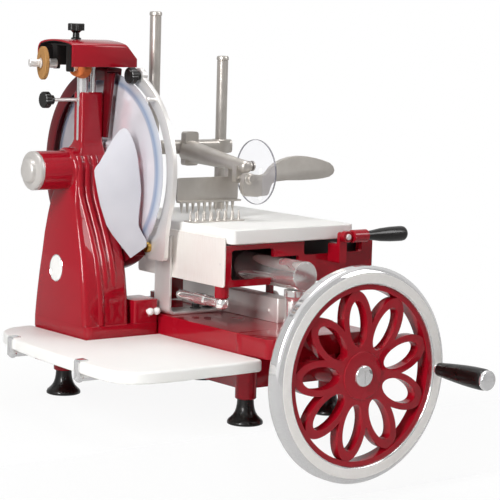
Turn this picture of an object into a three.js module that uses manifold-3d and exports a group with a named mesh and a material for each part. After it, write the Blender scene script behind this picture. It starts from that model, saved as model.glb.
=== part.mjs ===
// Hand crank meat slicer with a flywheel, in millimetres, +Z up.
// The origin is the centre of the front left foot's rest face, +X runs to the operator's right
// and +Y away from the operator. The blade turns about X, the flywheel about Y.
import * as THREE from "three";
import { mergeVertices } from "three/addons/utils/BufferGeometryUtils.js";
import Module from "manifold-3d";

const wasm = await Module();
wasm.setup();

// Clearances
const seatGap = 0.3;
const shaftGap = 0.35;

// Facets round the large discs, ordinary rounds and small pins
const largeSteps = 60;
const roundSteps = 20;
const smallSteps = 10;

// The blade's axis, from which the castings are set out
const bladeAxisY = 343;
const bladeAxisZ = 391;
const towerAhead = 118;
const towerBehind = 58;
const towerFront = bladeAxisY - towerAhead;
const towerBack = bladeAxisY + towerBehind;

// Feet
const footSpanX = 175;
const footSpanY = 362;
const towerFootX = -121.5;
const footHeight = 42;
const footFlareRadius = 29.5;
const footNeckRadius = 13.5;
const footBossRadius = 17.5;

// Base casting
const baseBottom = 60;
const baseTop = 150;
const baseLeft = -16;
const baseRight = 200;
const baseFront = -12;
const baseBehind = 12;
const baseBack = towerBack + baseBehind;
const ledgeFront = -80;
const ledgeBottom = 118;
const castingWall = 8;
const cornerRadius = 14;

// Tower casting
const towerLeft = -163;
const towerRight = -72;
const towerSkirtTop = 137;
const columnLeft = -114;
const columnRight = -70;
const columnDepth = 28;
const columnHeight = 132;
const columnTop = bladeAxisZ + columnHeight;

// Blade and its shaft
const bladeRadius = 165;
const bladeBack = -49;
const bladeBodyThickness = 5;
const bladeBoreRadius = 12.3;
const bladeShaftRadius = 12;
const hubBarrelRadius = 33;
const hubBarrelLeft = -196;

// Guards round the blade, set out from its edge
const rearGuardClearance = 3;
const rearGuardDepth = 6.5;
const rearGuardLip = 16;
const rearGuardInner = bladeRadius + rearGuardClearance;
const rearGuardOuter = rearGuardInner + rearGuardDepth;
const rearGuardFlangeInner = rearGuardInner - rearGuardLip;
const rearGuardLeft = -70;
const rearGuardRight = -39.5;
const rearGuardWall = 3;
const frontGuardClearance = 7;
const frontGuardWidth = 14;
const frontGuardInner = bladeRadius + frontGuardClearance;
const frontGuardOuter = frontGuardInner + frontGuardWidth;
const frontGuardLeft = -38;
const frontGuardRight = -30;

// Flywheel
const axleX = 148;
const axleZ = 85;
const axleRadius = 11;
const barrelRadius = 25;
const wheelFront = -123;
const rimDepth = 34;
const rimOuter = 179;
const rimInner = 150;
const spiderRingInner = 141;
const wheelHubRadius = 42;
const wheelHubBack = -84;
const petalCount = 9;
const petalCentreRadius = 86;
const petalHalfLength = 52;
const petalHalfWidth = 27;
const petalHoleHalfLength = 37;
const petalHoleHalfWidth = 15;
const petalDepth = 22;
const petalPhase = 98;
const crankRadius = 160;
const gripLength = 110;
const gripRadius = 16;
const gripRootRadius = 11.5;

// Drive inside the castings
const bevelDriverRadius = 24;
const bevelFollowerRadius = 16;
const bevelRunGap = 0.6;
const bevelBodyDepth = 12;
const bevelClearance = 2;
const bevelApexY = bladeAxisY;
const driverLarge = bevelApexY - bevelFollowerRadius - bevelRunGap;
const driverTip = driverLarge + bevelFollowerRadius * 0.35;
const crossShaftRadius = 8;
const lowerChainWheelRadius = 21;
const upperChainWheelRadius = 14;
const chainX = -95;
const chainWidth = 6;
const chainThickness = 3;

// Slide bar and carriage
const barX = 120;
const barZ = 234;
const barRadius = 25;
const barFront = 3;
const barBack = 424;
const barPostY = 30;
const barPostRadius = 18;
const pedestalHalfWidth = 22;
const pedestalFront = 366;
const pedestalBack = 404;
const coverHalfWidth = 16;
const coverFront = 54;
const coverBack = 330;
const coverTop = 191;
const carriageLeft = -4;
const carriageRight = 312;
const carriageFront = 58;
const carriageBack = 308;
const carriageBottom = 216;
const carriageTop = 285;
const plateThickness = 8;

// Food table
const tableLeft = -2;
const tableRight = 256;
const tableFront = 43;
const tableBack = 400;
const tableBottom = 288;
const tableTop = 312;

// Meat clamp
const tallRodX = 49;
const shortRodX = 197;
const rodY = 352;
const rodRadius = 10;
const tallRodTop = 663;
const shortRodTop = 587;
const clampArmX = 118;
const crossbarZ = 425;
const jawY = 205;
const armFront = 165;

// Sharpener
const postX = -105;
const postRadius = 9.5;
const pinX = -84;
const pinRadius = 5;
const hoodLeft = -158;
const hoodRight = -28;
const hoodAhead = 50;
const hoodBehind = 62;
const hoodFront = bladeAxisY - hoodAhead;
const hoodBack = bladeAxisY + hoodBehind;
const hoodClearance = 1.5;
const hoodHeight = 45;
const hoodBottom = bladeAxisZ + rearGuardOuter + hoodClearance;
const hoodTop = hoodBottom + hoodHeight;
const hoodWall = 3;

// Receiving tray
const trayTop = 117.5;
const trayBottom = 98;
const trayLeft = -275;
const trayFront = -76;
const trayRodRadius = 6;
const trayRodZ = 91;

const X = new THREE.Vector3(1, 0, 0);
const Y = new THREE.Vector3(0, 1, 0);
const Z = new THREE.Vector3(0, 0, 1);
const part = new THREE.Group();

// Colours from the photograph
function material(color, roughness, metalness) {
  return new THREE.MeshStandardMaterial({ color, roughness, metalness });
}

const redPaint = material(0xa81420, 0.25, 0.1);
const chrome = material(0xd8d8da, 0.12, 1);
const steel = material(0xbcbcbc, 0.3, 1);
const whiteBoard = material(0xf0f0ee, 0.4, 0);
const black = material(0x151515, 0.35, 0);
const brass = material(0xb89a5a, 0.3, 1);
const amberStone = material(0xb88a40, 0.9, 0);
const orangeStone = material(0xc05a28, 0.9, 0);
const darkSteel = material(0x303032, 0.4, 0.8);
const clearPlastic = material(0xdfe4e8, 0.1, 0);
const badgeWhite = material(0xf4f4f4, 0.4, 0);

// Solid helpers: a geometry becomes a manifold solid for joining and cutting, and comes back
function solid(geometry) {
  const bare = geometry.index ? geometry.toNonIndexed() : geometry.clone();
  bare.deleteAttribute("normal");
  bare.deleteAttribute("uv");
  const merged = mergeVertices(bare, 1e-4);
  const vertProperties = new Float32Array(merged.attributes.position.array);
  const triVerts = new Uint32Array(merged.index.array);
  return new wasm.Manifold(new wasm.Mesh({ numProp: 3, vertProperties, triVerts }));
}

function geometryOf(manifold) {
  const mesh = manifold.getMesh();
  const geometry = new THREE.BufferGeometry();
  geometry.setAttribute("position", new THREE.BufferAttribute(new Float32Array(mesh.vertProperties), 3));
  geometry.setIndex(new THREE.BufferAttribute(new Uint32Array(mesh.triVerts), 1));
  return geometry;
}

function join(...pieces) {
  return pieces.reduce((whole, piece) => whole.add(piece));
}

function cut(body, ...tools) {
  return tools.reduce((rest, tool) => rest.subtract(tool), body);
}

function add(name, shape, look) {
  const mesh = new THREE.Mesh(geometryOf(shape), look);
  mesh.name = name;
  part.add(mesh);
}

// A box between two corners
function box(x0, x1, y0, y1, z0, z1) {
  const geometry = new THREE.BoxGeometry(x1 - x0, y1 - y0, z1 - z0);
  geometry.translate((x0 + x1) / 2, (y0 + y1) / 2, (z0 + z1) / 2);
  return solid(geometry);
}

// The turn that carries a lathe's own axis (Y) onto the wanted one
function turnTo(direction) {
  return new THREE.Quaternion().setFromUnitVectors(Y, direction.clone().normalize());
}

// A profile of [radius, distance] points, turned about an axis through a point
function turned(origin, direction, profile, steps = roundSteps) {
  const points = profile.map(([radius, along]) => new THREE.Vector2(Math.max(radius, 0), along));
  points.push(points[0].clone());
  const geometry = new THREE.LatheGeometry(points, steps);
  geometry.applyQuaternion(turnTo(direction));
  geometry.translate(...origin);
  const body = solid(geometry);
  return body.volume() < 0 ? solid(flipped(geometry)) : body;
}

function flipped(geometry) {
  const turnedOver = geometry.index ? geometry.toNonIndexed() : geometry.clone();
  const position = turnedOver.attributes.position;
  for (let corner = 0; corner < position.count; corner += 3) {
    const kept = new THREE.Vector3().fromBufferAttribute(position, corner + 1);
    const moved = new THREE.Vector3().fromBufferAttribute(position, corner + 2);
    position.setXYZ(corner + 1, moved.x, moved.y, moved.z);
    position.setXYZ(corner + 2, kept.x, kept.y, kept.z);
  }
  return turnedOver;
}

// A round bar from one distance to another along an axis through a point
function bar(origin, direction, radius, from, to, steps = roundSteps) {
  return turned(origin, direction, [[0, from], [radius, from], [radius, to], [0, to]], steps);
}

// A tube with a bore
function sleeve(origin, direction, outer, inner, from, to, steps = roundSteps) {
  return turned(origin, direction, [[inner, from], [outer, from], [outer, to], [inner, to]], steps);
}

// An outline of [y, z] points, drawn out along X
function alongX(points, x0, x1) {
  const outline = new THREE.Shape(points.map(([y, z]) => new THREE.Vector2(y, z)));
  const geometry = new THREE.ExtrudeGeometry(outline, { depth: x1 - x0, bevelEnabled: false });
  const frame = new THREE.Matrix4().makeBasis(Y, Z, X);
  frame.setPosition(x0, 0, 0);
  geometry.applyMatrix4(frame);
  return solid(geometry);
}

// An outline of [x, z] points, drawn out along Y from y0 to y1
function alongY(points, y0, y1) {
  const outline = new THREE.Shape(points.map(([x, z]) => new THREE.Vector2(x, z)));
  const geometry = new THREE.ExtrudeGeometry(outline, { depth: y1 - y0, bevelEnabled: false });
  const frame = new THREE.Matrix4().makeBasis(X, Z, Y.clone().negate());
  frame.setPosition(0, y1, 0);
  geometry.applyMatrix4(frame);
  return solid(geometry);
}

// An outline of [x, y] points, drawn out along Z
function alongZ(points, z0, z1) {
  const outline = new THREE.Shape(points.map(([x, y]) => new THREE.Vector2(x, y)));
  const geometry = new THREE.ExtrudeGeometry(outline, { depth: z1 - z0, bevelEnabled: false });
  geometry.translate(0, 0, z0);
  return solid(geometry);
}

// Points on an arc, angles in degrees, in the plane of an outline
function arc(centreA, centreB, radiusA, radiusB, from, to, steps) {
  return Array.from({ length: steps + 1 }, (_, step) => {
    const angle = THREE.MathUtils.degToRad(from + ((to - from) * step) / steps);
    return [centreA + radiusA * Math.cos(angle), centreB + radiusB * Math.sin(angle)];
  });
}

// A rectangle with round corners
function roundedRectangle(x0, x1, y0, y1, radius, steps = 3) {
  return [
    ...arc(x1 - radius, y0 + radius, radius, radius, -90, 0, steps),
    ...arc(x1 - radius, y1 - radius, radius, radius, 0, 90, steps),
    ...arc(x0 + radius, y1 - radius, radius, radius, 90, 180, steps),
    ...arc(x0 + radius, y0 + radius, radius, radius, 180, 270, steps),
  ];
}

// A skin through rounded rectangles at rising heights: [z, x0, x1, y0, y1, radius]
function loft(sections) {
  const rings = sections.map(([z, x0, x1, y0, y1, radius]) =>
    roundedRectangle(x0, x1, y0, y1, radius).map(([x, y]) => [x, y, z]));
  const count = rings[0].length;
  const corners = [];
  const push = (...points) => points.forEach((point) => corners.push(...point));
  for (let level = 0; level + 1 < rings.length; level += 1) {
    for (let side = 0; side < count; side += 1) {
      const next = (side + 1) % count;
      push(rings[level][side], rings[level][next], rings[level + 1][next]);
      push(rings[level][side], rings[level + 1][next], rings[level + 1][side]);
    }
  }
  const top = rings[rings.length - 1];
  for (let side = 1; side + 1 < count; side += 1) {
    push(rings[0][0], rings[0][side + 1], rings[0][side]);
    push(top[0], top[side], top[side + 1]);
  }
  const geometry = new THREE.BufferGeometry();
  geometry.setAttribute("position", new THREE.BufferAttribute(new Float32Array(corners), 3));
  return solid(geometry);
}

const bladeAxis = [0, bladeAxisY, bladeAxisZ];
const wheelAxis = [axleX, 0, axleZ];

// Feet
const footPlaces = {
  foot_front_left: [0, 0],
  foot_front_right: [footSpanX, 0],
  foot_tower: [towerFootX, footSpanY],
  foot_rear_right: [footSpanX, footSpanY],
};

function foot([x, y]) {
  return turned([x, y, 0], Z, [
    [0, 0], [footFlareRadius, 0], [footFlareRadius, 4], [footFlareRadius * 0.8, 12],
    [footNeckRadius * 1.25, 20], [footNeckRadius, 29], [footNeckRadius, footHeight - seatGap],
    [0, footHeight - seatGap],
  ], roundSteps);
}

for (const [name, place] of Object.entries(footPlaces)) {
  add(name, foot(place), black);
}

// Base casting: a hollow box open below, its front ledge, the wing under the tower and the axle barrel
const wingTop = trayTop;
const deckUnder = baseTop - castingWall;
const wingDeckUnder = wingTop - castingWall;
const ledgeLap = 40;
const wingLap = 30;
const ribBottom = 66;
const ribThickness = 10;
const ribHalfWidth = 14;
const axleRibHalfWidth = 16;
const axleRibSetBack = 60;
const rearRibX = 100;
const leftRibX = 0;
const chainWellHalfWidth = 14;
const chainWellHalfDepth = 32;
const crossBoreLeft = -140;

function baseCasting() {
  const shell = join(
    alongZ(roundedRectangle(baseLeft, baseRight, baseFront, baseBack, cornerRadius), baseBottom, baseTop),
    alongZ(roundedRectangle(baseLeft, baseRight, ledgeFront, baseFront + ledgeLap, cornerRadius), ledgeBottom, baseTop),
    alongZ(roundedRectangle(towerLeft, baseLeft + wingLap, towerFront, towerBack, cornerRadius), baseBottom, wingTop),
  );
  const hollow = join(
    box(baseLeft + castingWall, baseRight - castingWall, baseFront + castingWall, baseBack - castingWall,
      baseBottom - 1, deckUnder),
    box(towerLeft + castingWall, baseLeft + castingWall + 1, towerFront + castingWall, towerBack - castingWall,
      baseBottom - 1, wingDeckUnder),
  );
  const bosses = Object.values(footPlaces).map(([x, y]) =>
    bar([x, y, 0], Z, footBossRadius, footHeight, x < baseLeft ? wingDeckUnder + 2 : deckUnder + 2, roundSteps));
  const barrel = join(
    bar(wheelAxis, Y, barrelRadius, ledgeFront, baseFront + castingWall),
    box(axleX - barrelRadius, axleX + barrelRadius, ledgeFront + 2, baseFront + 2, axleZ, ledgeBottom + 2),
  );
  const axleRibBack = bladeAxisY - axleRibSetBack;
  const crossRibs = [rearRibX, leftRibX].map((x) =>
    box(x, x + ribThickness, bladeAxisY - ribHalfWidth, bladeAxisY + ribHalfWidth, ribBottom, deckUnder + 2));
  const axleRib = box(axleX - axleRibHalfWidth, axleX + axleRibHalfWidth, axleRibBack - ribThickness, axleRibBack,
    ribBottom, deckUnder + 2);
  const axleBore = bar(wheelAxis, Y, axleRadius + shaftGap, ledgeFront - 1, bladeAxisY);
  const bevelRoom = bar(wheelAxis, Y, bevelDriverRadius + bevelClearance,
    driverLarge - bevelBodyDepth - bevelClearance, driverTip + bevelClearance);
  const crossBore = bar([0, bladeAxisY, axleZ], X, crossShaftRadius + shaftGap, crossBoreLeft, axleX);
  const chainWell = box(chainX - chainWellHalfWidth, chainX + chainWellHalfWidth,
    bladeAxisY - chainWellHalfDepth, bladeAxisY + chainWellHalfDepth, baseBottom, wingTop + 1);
  const joined = join(cut(shell, hollow), ...bosses, barrel, axleRib, ...crossRibs);
  return cut(joined, axleBore, bevelRoom, crossBore, chainWell);
}

add("base_casting", baseCasting(), redPaint);

// Tower casting: skirt, tapering hollow body, hub barrel along X and the sharpener's column
const columnFront = bladeAxisY - columnDepth / 2;
const columnBack = bladeAxisY + columnDepth / 2;
const towerFoot = { z: towerSkirtTop - 10, inset: 1, front: 9, back: 0, corner: 10 };
const towerKnee = { z: 183, inset: 0, front: 12, back: 8, corner: 12 };
const towerWaist = { z: bladeAxisZ - 142, inset: 3, front: 26, back: 18, corner: 16 };
const towerShoulder = { z: bladeAxisZ - 77, inset: 13, front: 58, back: 18, corner: 20 };
const towerNeck = { z: bladeAxisZ - 28, inset: 25, front: 85, back: 25, corner: 22 };
const towerHead = { z: bladeAxisZ, inset: 33, front: 90, back: 30, corner: 20 };
const towerSections = [towerFoot, towerKnee, towerWaist, towerShoulder, towerNeck, towerHead].map((level) =>
  [level.z, towerLeft + level.inset, towerRight, towerFront + level.front, towerBack - level.back, level.corner]);
const nearBlockHeight = 41;
const nearBlockDepth = 56;
const nearBlockStep = 4;
const chainPocketRadius = 27;
const chainPocketHalfWidth = 9;
const chainPocketHalfDepth = 24;
const chainPocketDrop = 51;
const postBoreDepth = 93;
const pinBoreDepth = 53;
const screwDrop = 13;
const postBoreFoot = columnTop - postBoreDepth;
const pinBoreFoot = columnTop - pinBoreDepth;
const screwZ = columnTop - screwDrop;
const screwRadius = 3;

function inner([z, x0, x1, y0, y1, radius]) {
  return [z, x0 + castingWall, x1 - castingWall, y0 + castingWall, y1 - castingWall, radius - castingWall + 4];
}

function towerCasting() {
  const foot = wingTop + seatGap;
  const skirt = alongZ(roundedRectangle(towerLeft, baseLeft, towerFront, towerBack, 12), foot, towerSkirtTop);
  const nearBlock = box(towerRight - 10, baseLeft - 2, towerFront + nearBlockStep,
    towerFront + nearBlockStep + nearBlockDepth, towerSkirtTop - 2, towerSkirtTop + nearBlockHeight);
  const body = loft(towerSections);
  const hubBarrel = bar(bladeAxis, X, hubBarrelRadius, hubBarrelLeft, towerRight);
  const column = loft([
    [bladeAxisZ, columnLeft, columnRight - seatGap, columnFront, columnBack, 8],
    [columnTop, columnLeft, columnRight - seatGap, columnFront, columnBack, 8],
  ]);
  const lowest = towerSections[0];
  const hollowFoot = [foot - 1, ...inner(lowest).slice(1)];
  const bodyHollow = loft([hollowFoot, ...towerSections.slice(0, 5).map(inner)]);
  const pocketLeft = chainX - chainPocketHalfWidth;
  const pocketRight = chainX + chainPocketHalfWidth;
  const chainPocket = bar(bladeAxis, X, chainPocketRadius, pocketLeft, pocketRight);
  const pocketWay = box(pocketLeft, pocketRight, bladeAxisY - chainPocketHalfDepth,
    bladeAxisY + chainPocketHalfDepth, bladeAxisZ - chainPocketDrop, bladeAxisZ);
  const shaftBore = bar(bladeAxis, X, bladeShaftRadius + shaftGap, hubBarrelLeft - 1, columnRight + 1);
  const postBore = bar([postX, bladeAxisY, 0], Z, postRadius + shaftGap, postBoreFoot, columnTop + 1, roundSteps);
  const pinBore = bar([pinX, bladeAxisY, 0], Z, pinRadius + shaftGap, pinBoreFoot, columnTop + 1, smallSteps);
  const screwBore = bar([0, bladeAxisY, screwZ], X, screwRadius + shaftGap, columnLeft - 1, postX - postRadius, smallSteps);
  const joined = join(skirt, nearBlock, body, hubBarrel, column);
  return cut(joined, bodyHollow, chainPocket, pocketWay, shaftBore, postBore, pinBore, screwBore);
}

add("tower_casting", towerCasting(), redPaint);

const capStepRadius = 22;
const capTopRadius = 14;
const capStep = 9;
const capHeight = 20;
add("hub_end_cap", turned([hubBarrelLeft - seatGap, bladeAxisY, bladeAxisZ], X.clone().negate(), [
  [0, 0], [hubBarrelRadius, 0], [hubBarrelRadius, capStep - 2], [hubBarrelRadius - 3, capStep],
  [capStepRadius, capStep], [capStepRadius - 2, capHeight - 3], [capTopRadius, capHeight], [0, capHeight],
]), chrome);

// A plain oval plate on the tower's left face, leaning with it
const badgeY = 327;
const badgeZ = 226;
const badgeHalfWidth = 20;
const badgeHalfHeight = 23;
const badgeThickness = 1.5;
const badgeLean = Math.atan2(towerWaist.inset - towerKnee.inset, towerWaist.z - towerKnee.z);
const faceAtBadge = towerLeft + (badgeZ - towerKnee.z) * Math.tan(badgeLean);

function badge() {
  const geometry = new THREE.CylinderGeometry(1, 1, badgeThickness, roundSteps);
  geometry.rotateZ(Math.PI / 2);
  geometry.scale(1, badgeHalfWidth, badgeHalfHeight);
  geometry.rotateY(badgeLean);
  geometry.translate(faceAtBadge - badgeThickness / 2 - seatGap, badgeY, badgeZ);
  return solid(geometry);
}

add("badge_plate", badge(), badgeWhite);

// Blade on its shaft, with the nut and the driven chain wheel
const chainWheelHalfWidth = 4;
const bladeNutRadius = 20;
const bladeNutHeight = 9;
add("blade_shaft", join(
  bar(bladeAxis, X, bladeShaftRadius, hubBarrelLeft + 6, bladeBack + bladeNutHeight + 3),
  bar(bladeAxis, X, bladeNutRadius, bladeBack + seatGap, bladeBack + bladeNutHeight, 6),
  bar(bladeAxis, X, upperChainWheelRadius, chainX - chainWheelHalfWidth, chainX + chainWheelHalfWidth),
), steel);
const bladeFace = bladeBack - bladeBodyThickness;
const bladeHubRadius = 45;
const bladeHubFoot = 52;
const bladeHubHeight = 8;
const bevelWidth = 16;
add("blade", turned(bladeAxis, X, [
  [bladeBoreRadius, bladeFace - bladeHubHeight], [bladeHubRadius, bladeFace - bladeHubHeight],
  [bladeHubFoot, bladeFace], [bladeRadius - bevelWidth, bladeFace],
  [bladeRadius, bladeBack - 0.6], [bladeRadius, bladeBack], [bladeBoreRadius, bladeBack],
], largeSteps), chrome);

// Turned-up channel round the blade's rear half, with its pad on the tower and its stay to the column
function sector(radius, from, to, x0, x1) {
  const rim = arc(bladeAxisY, bladeAxisZ, radius, radius, from, to, smallSteps);
  return alongX([[bladeAxisY, bladeAxisZ], ...rim], x0, x1);
}

const rearGuardStart = -127;
const rearGuardEnd = 97;
const stayInner = 56;
const stayHalfWidth = 11;
const stayThickness = 5;
const padHalfWidth = 14;

function onBlade(radius, degrees) {
  const angle = THREE.MathUtils.degToRad(degrees);
  return [bladeAxisY + radius * Math.cos(angle), bladeAxisZ + radius * Math.sin(angle)];
}

function rearGuard() {
  const channel = turned(bladeAxis, X, [
    [rearGuardFlangeInner, rearGuardLeft], [rearGuardOuter, rearGuardLeft],
    [rearGuardOuter, rearGuardRight], [rearGuardFlangeInner, rearGuardRight],
    [rearGuardFlangeInner, rearGuardRight - rearGuardWall], [rearGuardInner, rearGuardRight - rearGuardWall],
    [rearGuardInner, rearGuardLeft + rearGuardWall], [rearGuardFlangeInner, rearGuardLeft + rearGuardWall],
  ], largeSteps);
  const open = sector(rearGuardOuter * 2.2, rearGuardEnd, 360 + rearGuardStart, rearGuardLeft - 1, rearGuardRight + 1);
  const [innerY, innerZ] = onBlade(stayInner, 100);
  const [outerY, outerZ] = onBlade(rearGuardInner, rearGuardEnd + 3);
  const stay = alongX([
    [innerY - stayHalfWidth, innerZ], [innerY + stayHalfWidth, innerZ],
    [outerY + stayHalfWidth + 4, outerZ], [outerY - stayHalfWidth, outerZ],
  ], rearGuardLeft, rearGuardLeft + stayThickness);
  const pad = box(towerRight + seatGap, rearGuardLeft + 2, bladeAxisY - padHalfWidth, bladeAxisY + padHalfWidth,
    bladeAxisZ - rearGuardOuter + 2, bladeAxisZ - rearGuardFlangeInner - 2);
  return join(cut(channel, open), stay, pad);
}

add("rear_guard", rearGuard(), redPaint);

// Bright flat guard round the blade's near edge, with its lower leg and the knob's lug
const knobAngle = 113;
const guardEndAngle = 206;
const [knobY, knobZ] = onBlade((frontGuardInner + frontGuardOuter) / 2, knobAngle);
const knobStemRadius = 4;
const knobLugRadius = 13;
const boltAngle = 228.4;
const boltOutset = 2.2;
const [boltY, boltZ] = onBlade(bladeRadius + boltOutset, boltAngle);
const guardBoltRadius = 4;
const legFront = 48;
const legBack = 14;
const legBelow = 20;
const legAbove = 16;
const legShoulder = 22;

function frontGuard() {
  const outerArc = arc(bladeAxisY, bladeAxisZ, frontGuardOuter, frontGuardOuter, knobAngle - 2, guardEndAngle, roundSteps);
  const innerArc = arc(bladeAxisY, bladeAxisZ, frontGuardInner, frontGuardInner, guardEndAngle, knobAngle - 2, roundSteps);
  const band = alongX([...outerArc, ...innerArc], frontGuardLeft, frontGuardRight);
  const leg = alongX([
    onBlade(frontGuardOuter, guardEndAngle - 4), [boltY - legFront, boltZ + legShoulder],
    [boltY - legFront + 2, boltZ - legBelow], [boltY + legBack, boltZ - legBelow], [boltY + legBack, boltZ + legAbove],
    [boltY - legBelow, boltZ + legShoulder], onBlade(frontGuardInner + 1, guardEndAngle - 4),
  ], frontGuardLeft, frontGuardRight);
  const lug = bar([0, knobY, knobZ], X, knobLugRadius, frontGuardLeft, frontGuardRight, roundSteps);
  const knobHole = bar([0, knobY, knobZ], X, knobStemRadius + shaftGap, frontGuardLeft - 1, frontGuardRight + 1,
    smallSteps);
  const boltHole = bar([0, boltY, boltZ], X, guardBoltRadius + shaftGap, frontGuardLeft - 1, frontGuardRight + 1, smallSteps);
  return cut(join(band, leg, lug), knobHole, boltHole);
}

add("front_guard", frontGuard(), steel);
const knobStem = frontGuardRight - frontGuardLeft + 2 * seatGap;
const knobRadius = 14;
const knobNeck = 8;
const knobLength = 22;
const knobNutHeight = 6;
add("guard_knob", turned([frontGuardLeft - seatGap, knobY, knobZ], X, [
  [0, -knobLength], [knobRadius - 3, -knobLength], [knobRadius, 4 - knobLength], [knobRadius, -knobNeck],
  [knobNeck, -4], [knobNeck, 0], [knobStemRadius, 0], [knobStemRadius, knobStem], [knobNeck, knobStem],
  [knobNeck, knobStem + knobNutHeight], [knobStemRadius, knobStem + knobNutHeight],
  [knobStemRadius, knobStem + knobNutHeight + 3], [0, knobStem + knobNutHeight + 3],
], roundSteps), black);

// Slice deflector: a bright sheet that leaves the blade's near edge and bends back towards the hub
const deflectorInset = 44;
const deflectorRight = new THREE.Vector2(bladeFace - 5, bladeAxisY - bladeRadius + deflectorInset);
const deflectorLeft = new THREE.Vector2(columnLeft - 3, towerFront + towerShoulder.front + 1);
const deflectorThickness = 2.5;
const deflectorAbove = 76;
const deflectorBelow = 144;

function sliceDeflector() {
  const run = deflectorLeft.clone().sub(deflectorRight);
  const length = run.length();
  const outline = new THREE.Shape([
    [-0.08, -0.85], [0.26, -1], [0.76, -0.65], [0.93, -0.28], [1, 0], [0.7, 0.62],
    [0.4, 1], [0.24, 0.72], [0.12, 0.22], [0.05, -0.24], [0.08, -0.59], [-0.1, -0.77],
  ].map(([share, rise]) => new THREE.Vector2(
    share * length, bladeAxisZ + rise * (rise < 0 ? deflectorBelow : deflectorAbove))));
  const geometry = new THREE.ExtrudeGeometry(outline, { depth: deflectorThickness, bevelEnabled: false });
  const along = new THREE.Vector3(run.x, run.y, 0).normalize();
  const frame = new THREE.Matrix4().makeBasis(along, Z, along.clone().cross(Z));
  frame.setPosition(deflectorRight.x, deflectorRight.y, 0);
  geometry.applyMatrix4(frame);
  return solid(geometry);
}

add("slice_deflector", sliceDeflector(), chrome);

// Bracket that holds the front guard's leg, its bolts and the guard bolt
const bracketX = -12;
const bracketThickness = 5;
const bracketFront = boltY - 27;
const bracketBack = boltY + 18;
const bracketFootEnd = 100;
const leftFootBoltX = 60;
const rightFootBoltX = 86;
const bracketArmHalf = 11;
const washerRadius = 10;
const boltHeadRadius = 6;
const boltHeadHeight = 5;

function guardBracket() {
  const uprightTop = Math.max(tableBottom - 1, boltZ + bracketArmHalf);
  const upright = box(bracketX, bracketX + bracketThickness, bracketFront, bracketBack, baseTop + seatGap, uprightTop);
  const footPlate = box(bracketX, bracketFootEnd, bracketFront, bracketBack, baseTop + seatGap,
    baseTop + bracketThickness);
  const arm = box(frontGuardRight + seatGap, bracketX + 1, boltY - bracketArmHalf, boltY + bracketArmHalf,
    boltZ - bracketArmHalf, boltZ + bracketArmHalf);
  const boltHole = bar([0, boltY, boltZ], X, guardBoltRadius + shaftGap, frontGuardRight,
    bracketX + bracketThickness + 1, smallSteps);
  const footBolts = [leftFootBoltX, rightFootBoltX].map((x) => turned([x, boltY - 4, baseTop + bracketThickness - 1], Z, [
    [0, 0], [washerRadius, 0], [washerRadius, 4], [boltHeadRadius, 4], [boltHeadRadius, 4 + boltHeadHeight],
    [0, 4 + boltHeadHeight],
  ], smallSteps));
  return cut(join(upright, footPlate, arm, ...footBolts), boltHole);
}

add("guard_bracket", guardBracket(), steel);
const guardBoltHead = 9;
const guardBoltHeadHeight = 7;
const guardBoltEnd = bracketX + bracketThickness - frontGuardLeft - 2;
add("guard_bolt", turned([frontGuardLeft - seatGap, boltY, boltZ], X, [
  [0, -guardBoltHeadHeight], [guardBoltHead, -guardBoltHeadHeight], [guardBoltHead, 0], [guardBoltRadius, 0],
  [guardBoltRadius, guardBoltEnd], [0, guardBoltEnd],
], smallSteps), brass);

// Slide bar with its end cap, the front post and the rear pedestal
add("slide_bar", turned([barX, 0, barZ], Y, [
  [0, barFront], [barRadius - 2, barFront], [barRadius, barFront + 2], [barRadius, barBack], [0, barBack],
], roundSteps), chrome);
const barSeat = barZ - barRadius - seatGap;
add("bar_front_post", bar([barX, barPostY, 0], Z, barPostRadius, baseTop + seatGap, barSeat, roundSteps), chrome);
add("bar_rear_pedestal", cut(
  box(barX - pedestalHalfWidth, barX + pedestalHalfWidth, pedestalFront, pedestalBack, baseTop + seatGap, barZ),
  bar([barX, 0, barZ], Y, barRadius + seatGap, pedestalFront - 1, pedestalBack + 1, roundSteps),
), redPaint);
add("bar_cover", box(barX - coverHalfWidth, barX + coverHalfWidth, coverFront, coverBack, baseTop + seatGap, coverTop),
  steel);

// Carriage: a red frame on a sleeve that runs along the bar, with a bright side panel
const rollerY = 182;
const rollerZ = 168;
const rollerRadius = 15;
const rollerPinRadius = 4;
const feedScrewZ = 273;
const feedScrewRadius = 5;
const nutLeft = 28;
const nutThickness = 14;
const feedTravel = 55;
const screwLeft = carriageLeft + 5;
const rodBossX = 6;
const rodBossY = carriageFront + 22;
const rodBossRadius = 13;
const rodBossFoot = 196;
const sleeveWall = 9;
const sleeveFront = rollerY - 12;
const sleeveBack = rollerY + 88;
const sideRailWidth = 10;
const rightRailBottom = 250;
const leftWindowX = [8, 96];
const leftWindowZ = [227, 283];
const barWindowHalf = 30;
const barWindowZ = [205, 262];
const rightWindowX = [160, 288];
const crossWebBottom = 262;
const crossWebHalf = 6;
const rollerArmX = [182, 190];
const rollerArmDrop = 9;
const rollerLeft = 190.5;
const rollerRight = 199;
const rollerHeadRadius = 7;
const rollerHeadHeight = 3.5;
const rodPinRadius = 5;

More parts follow.
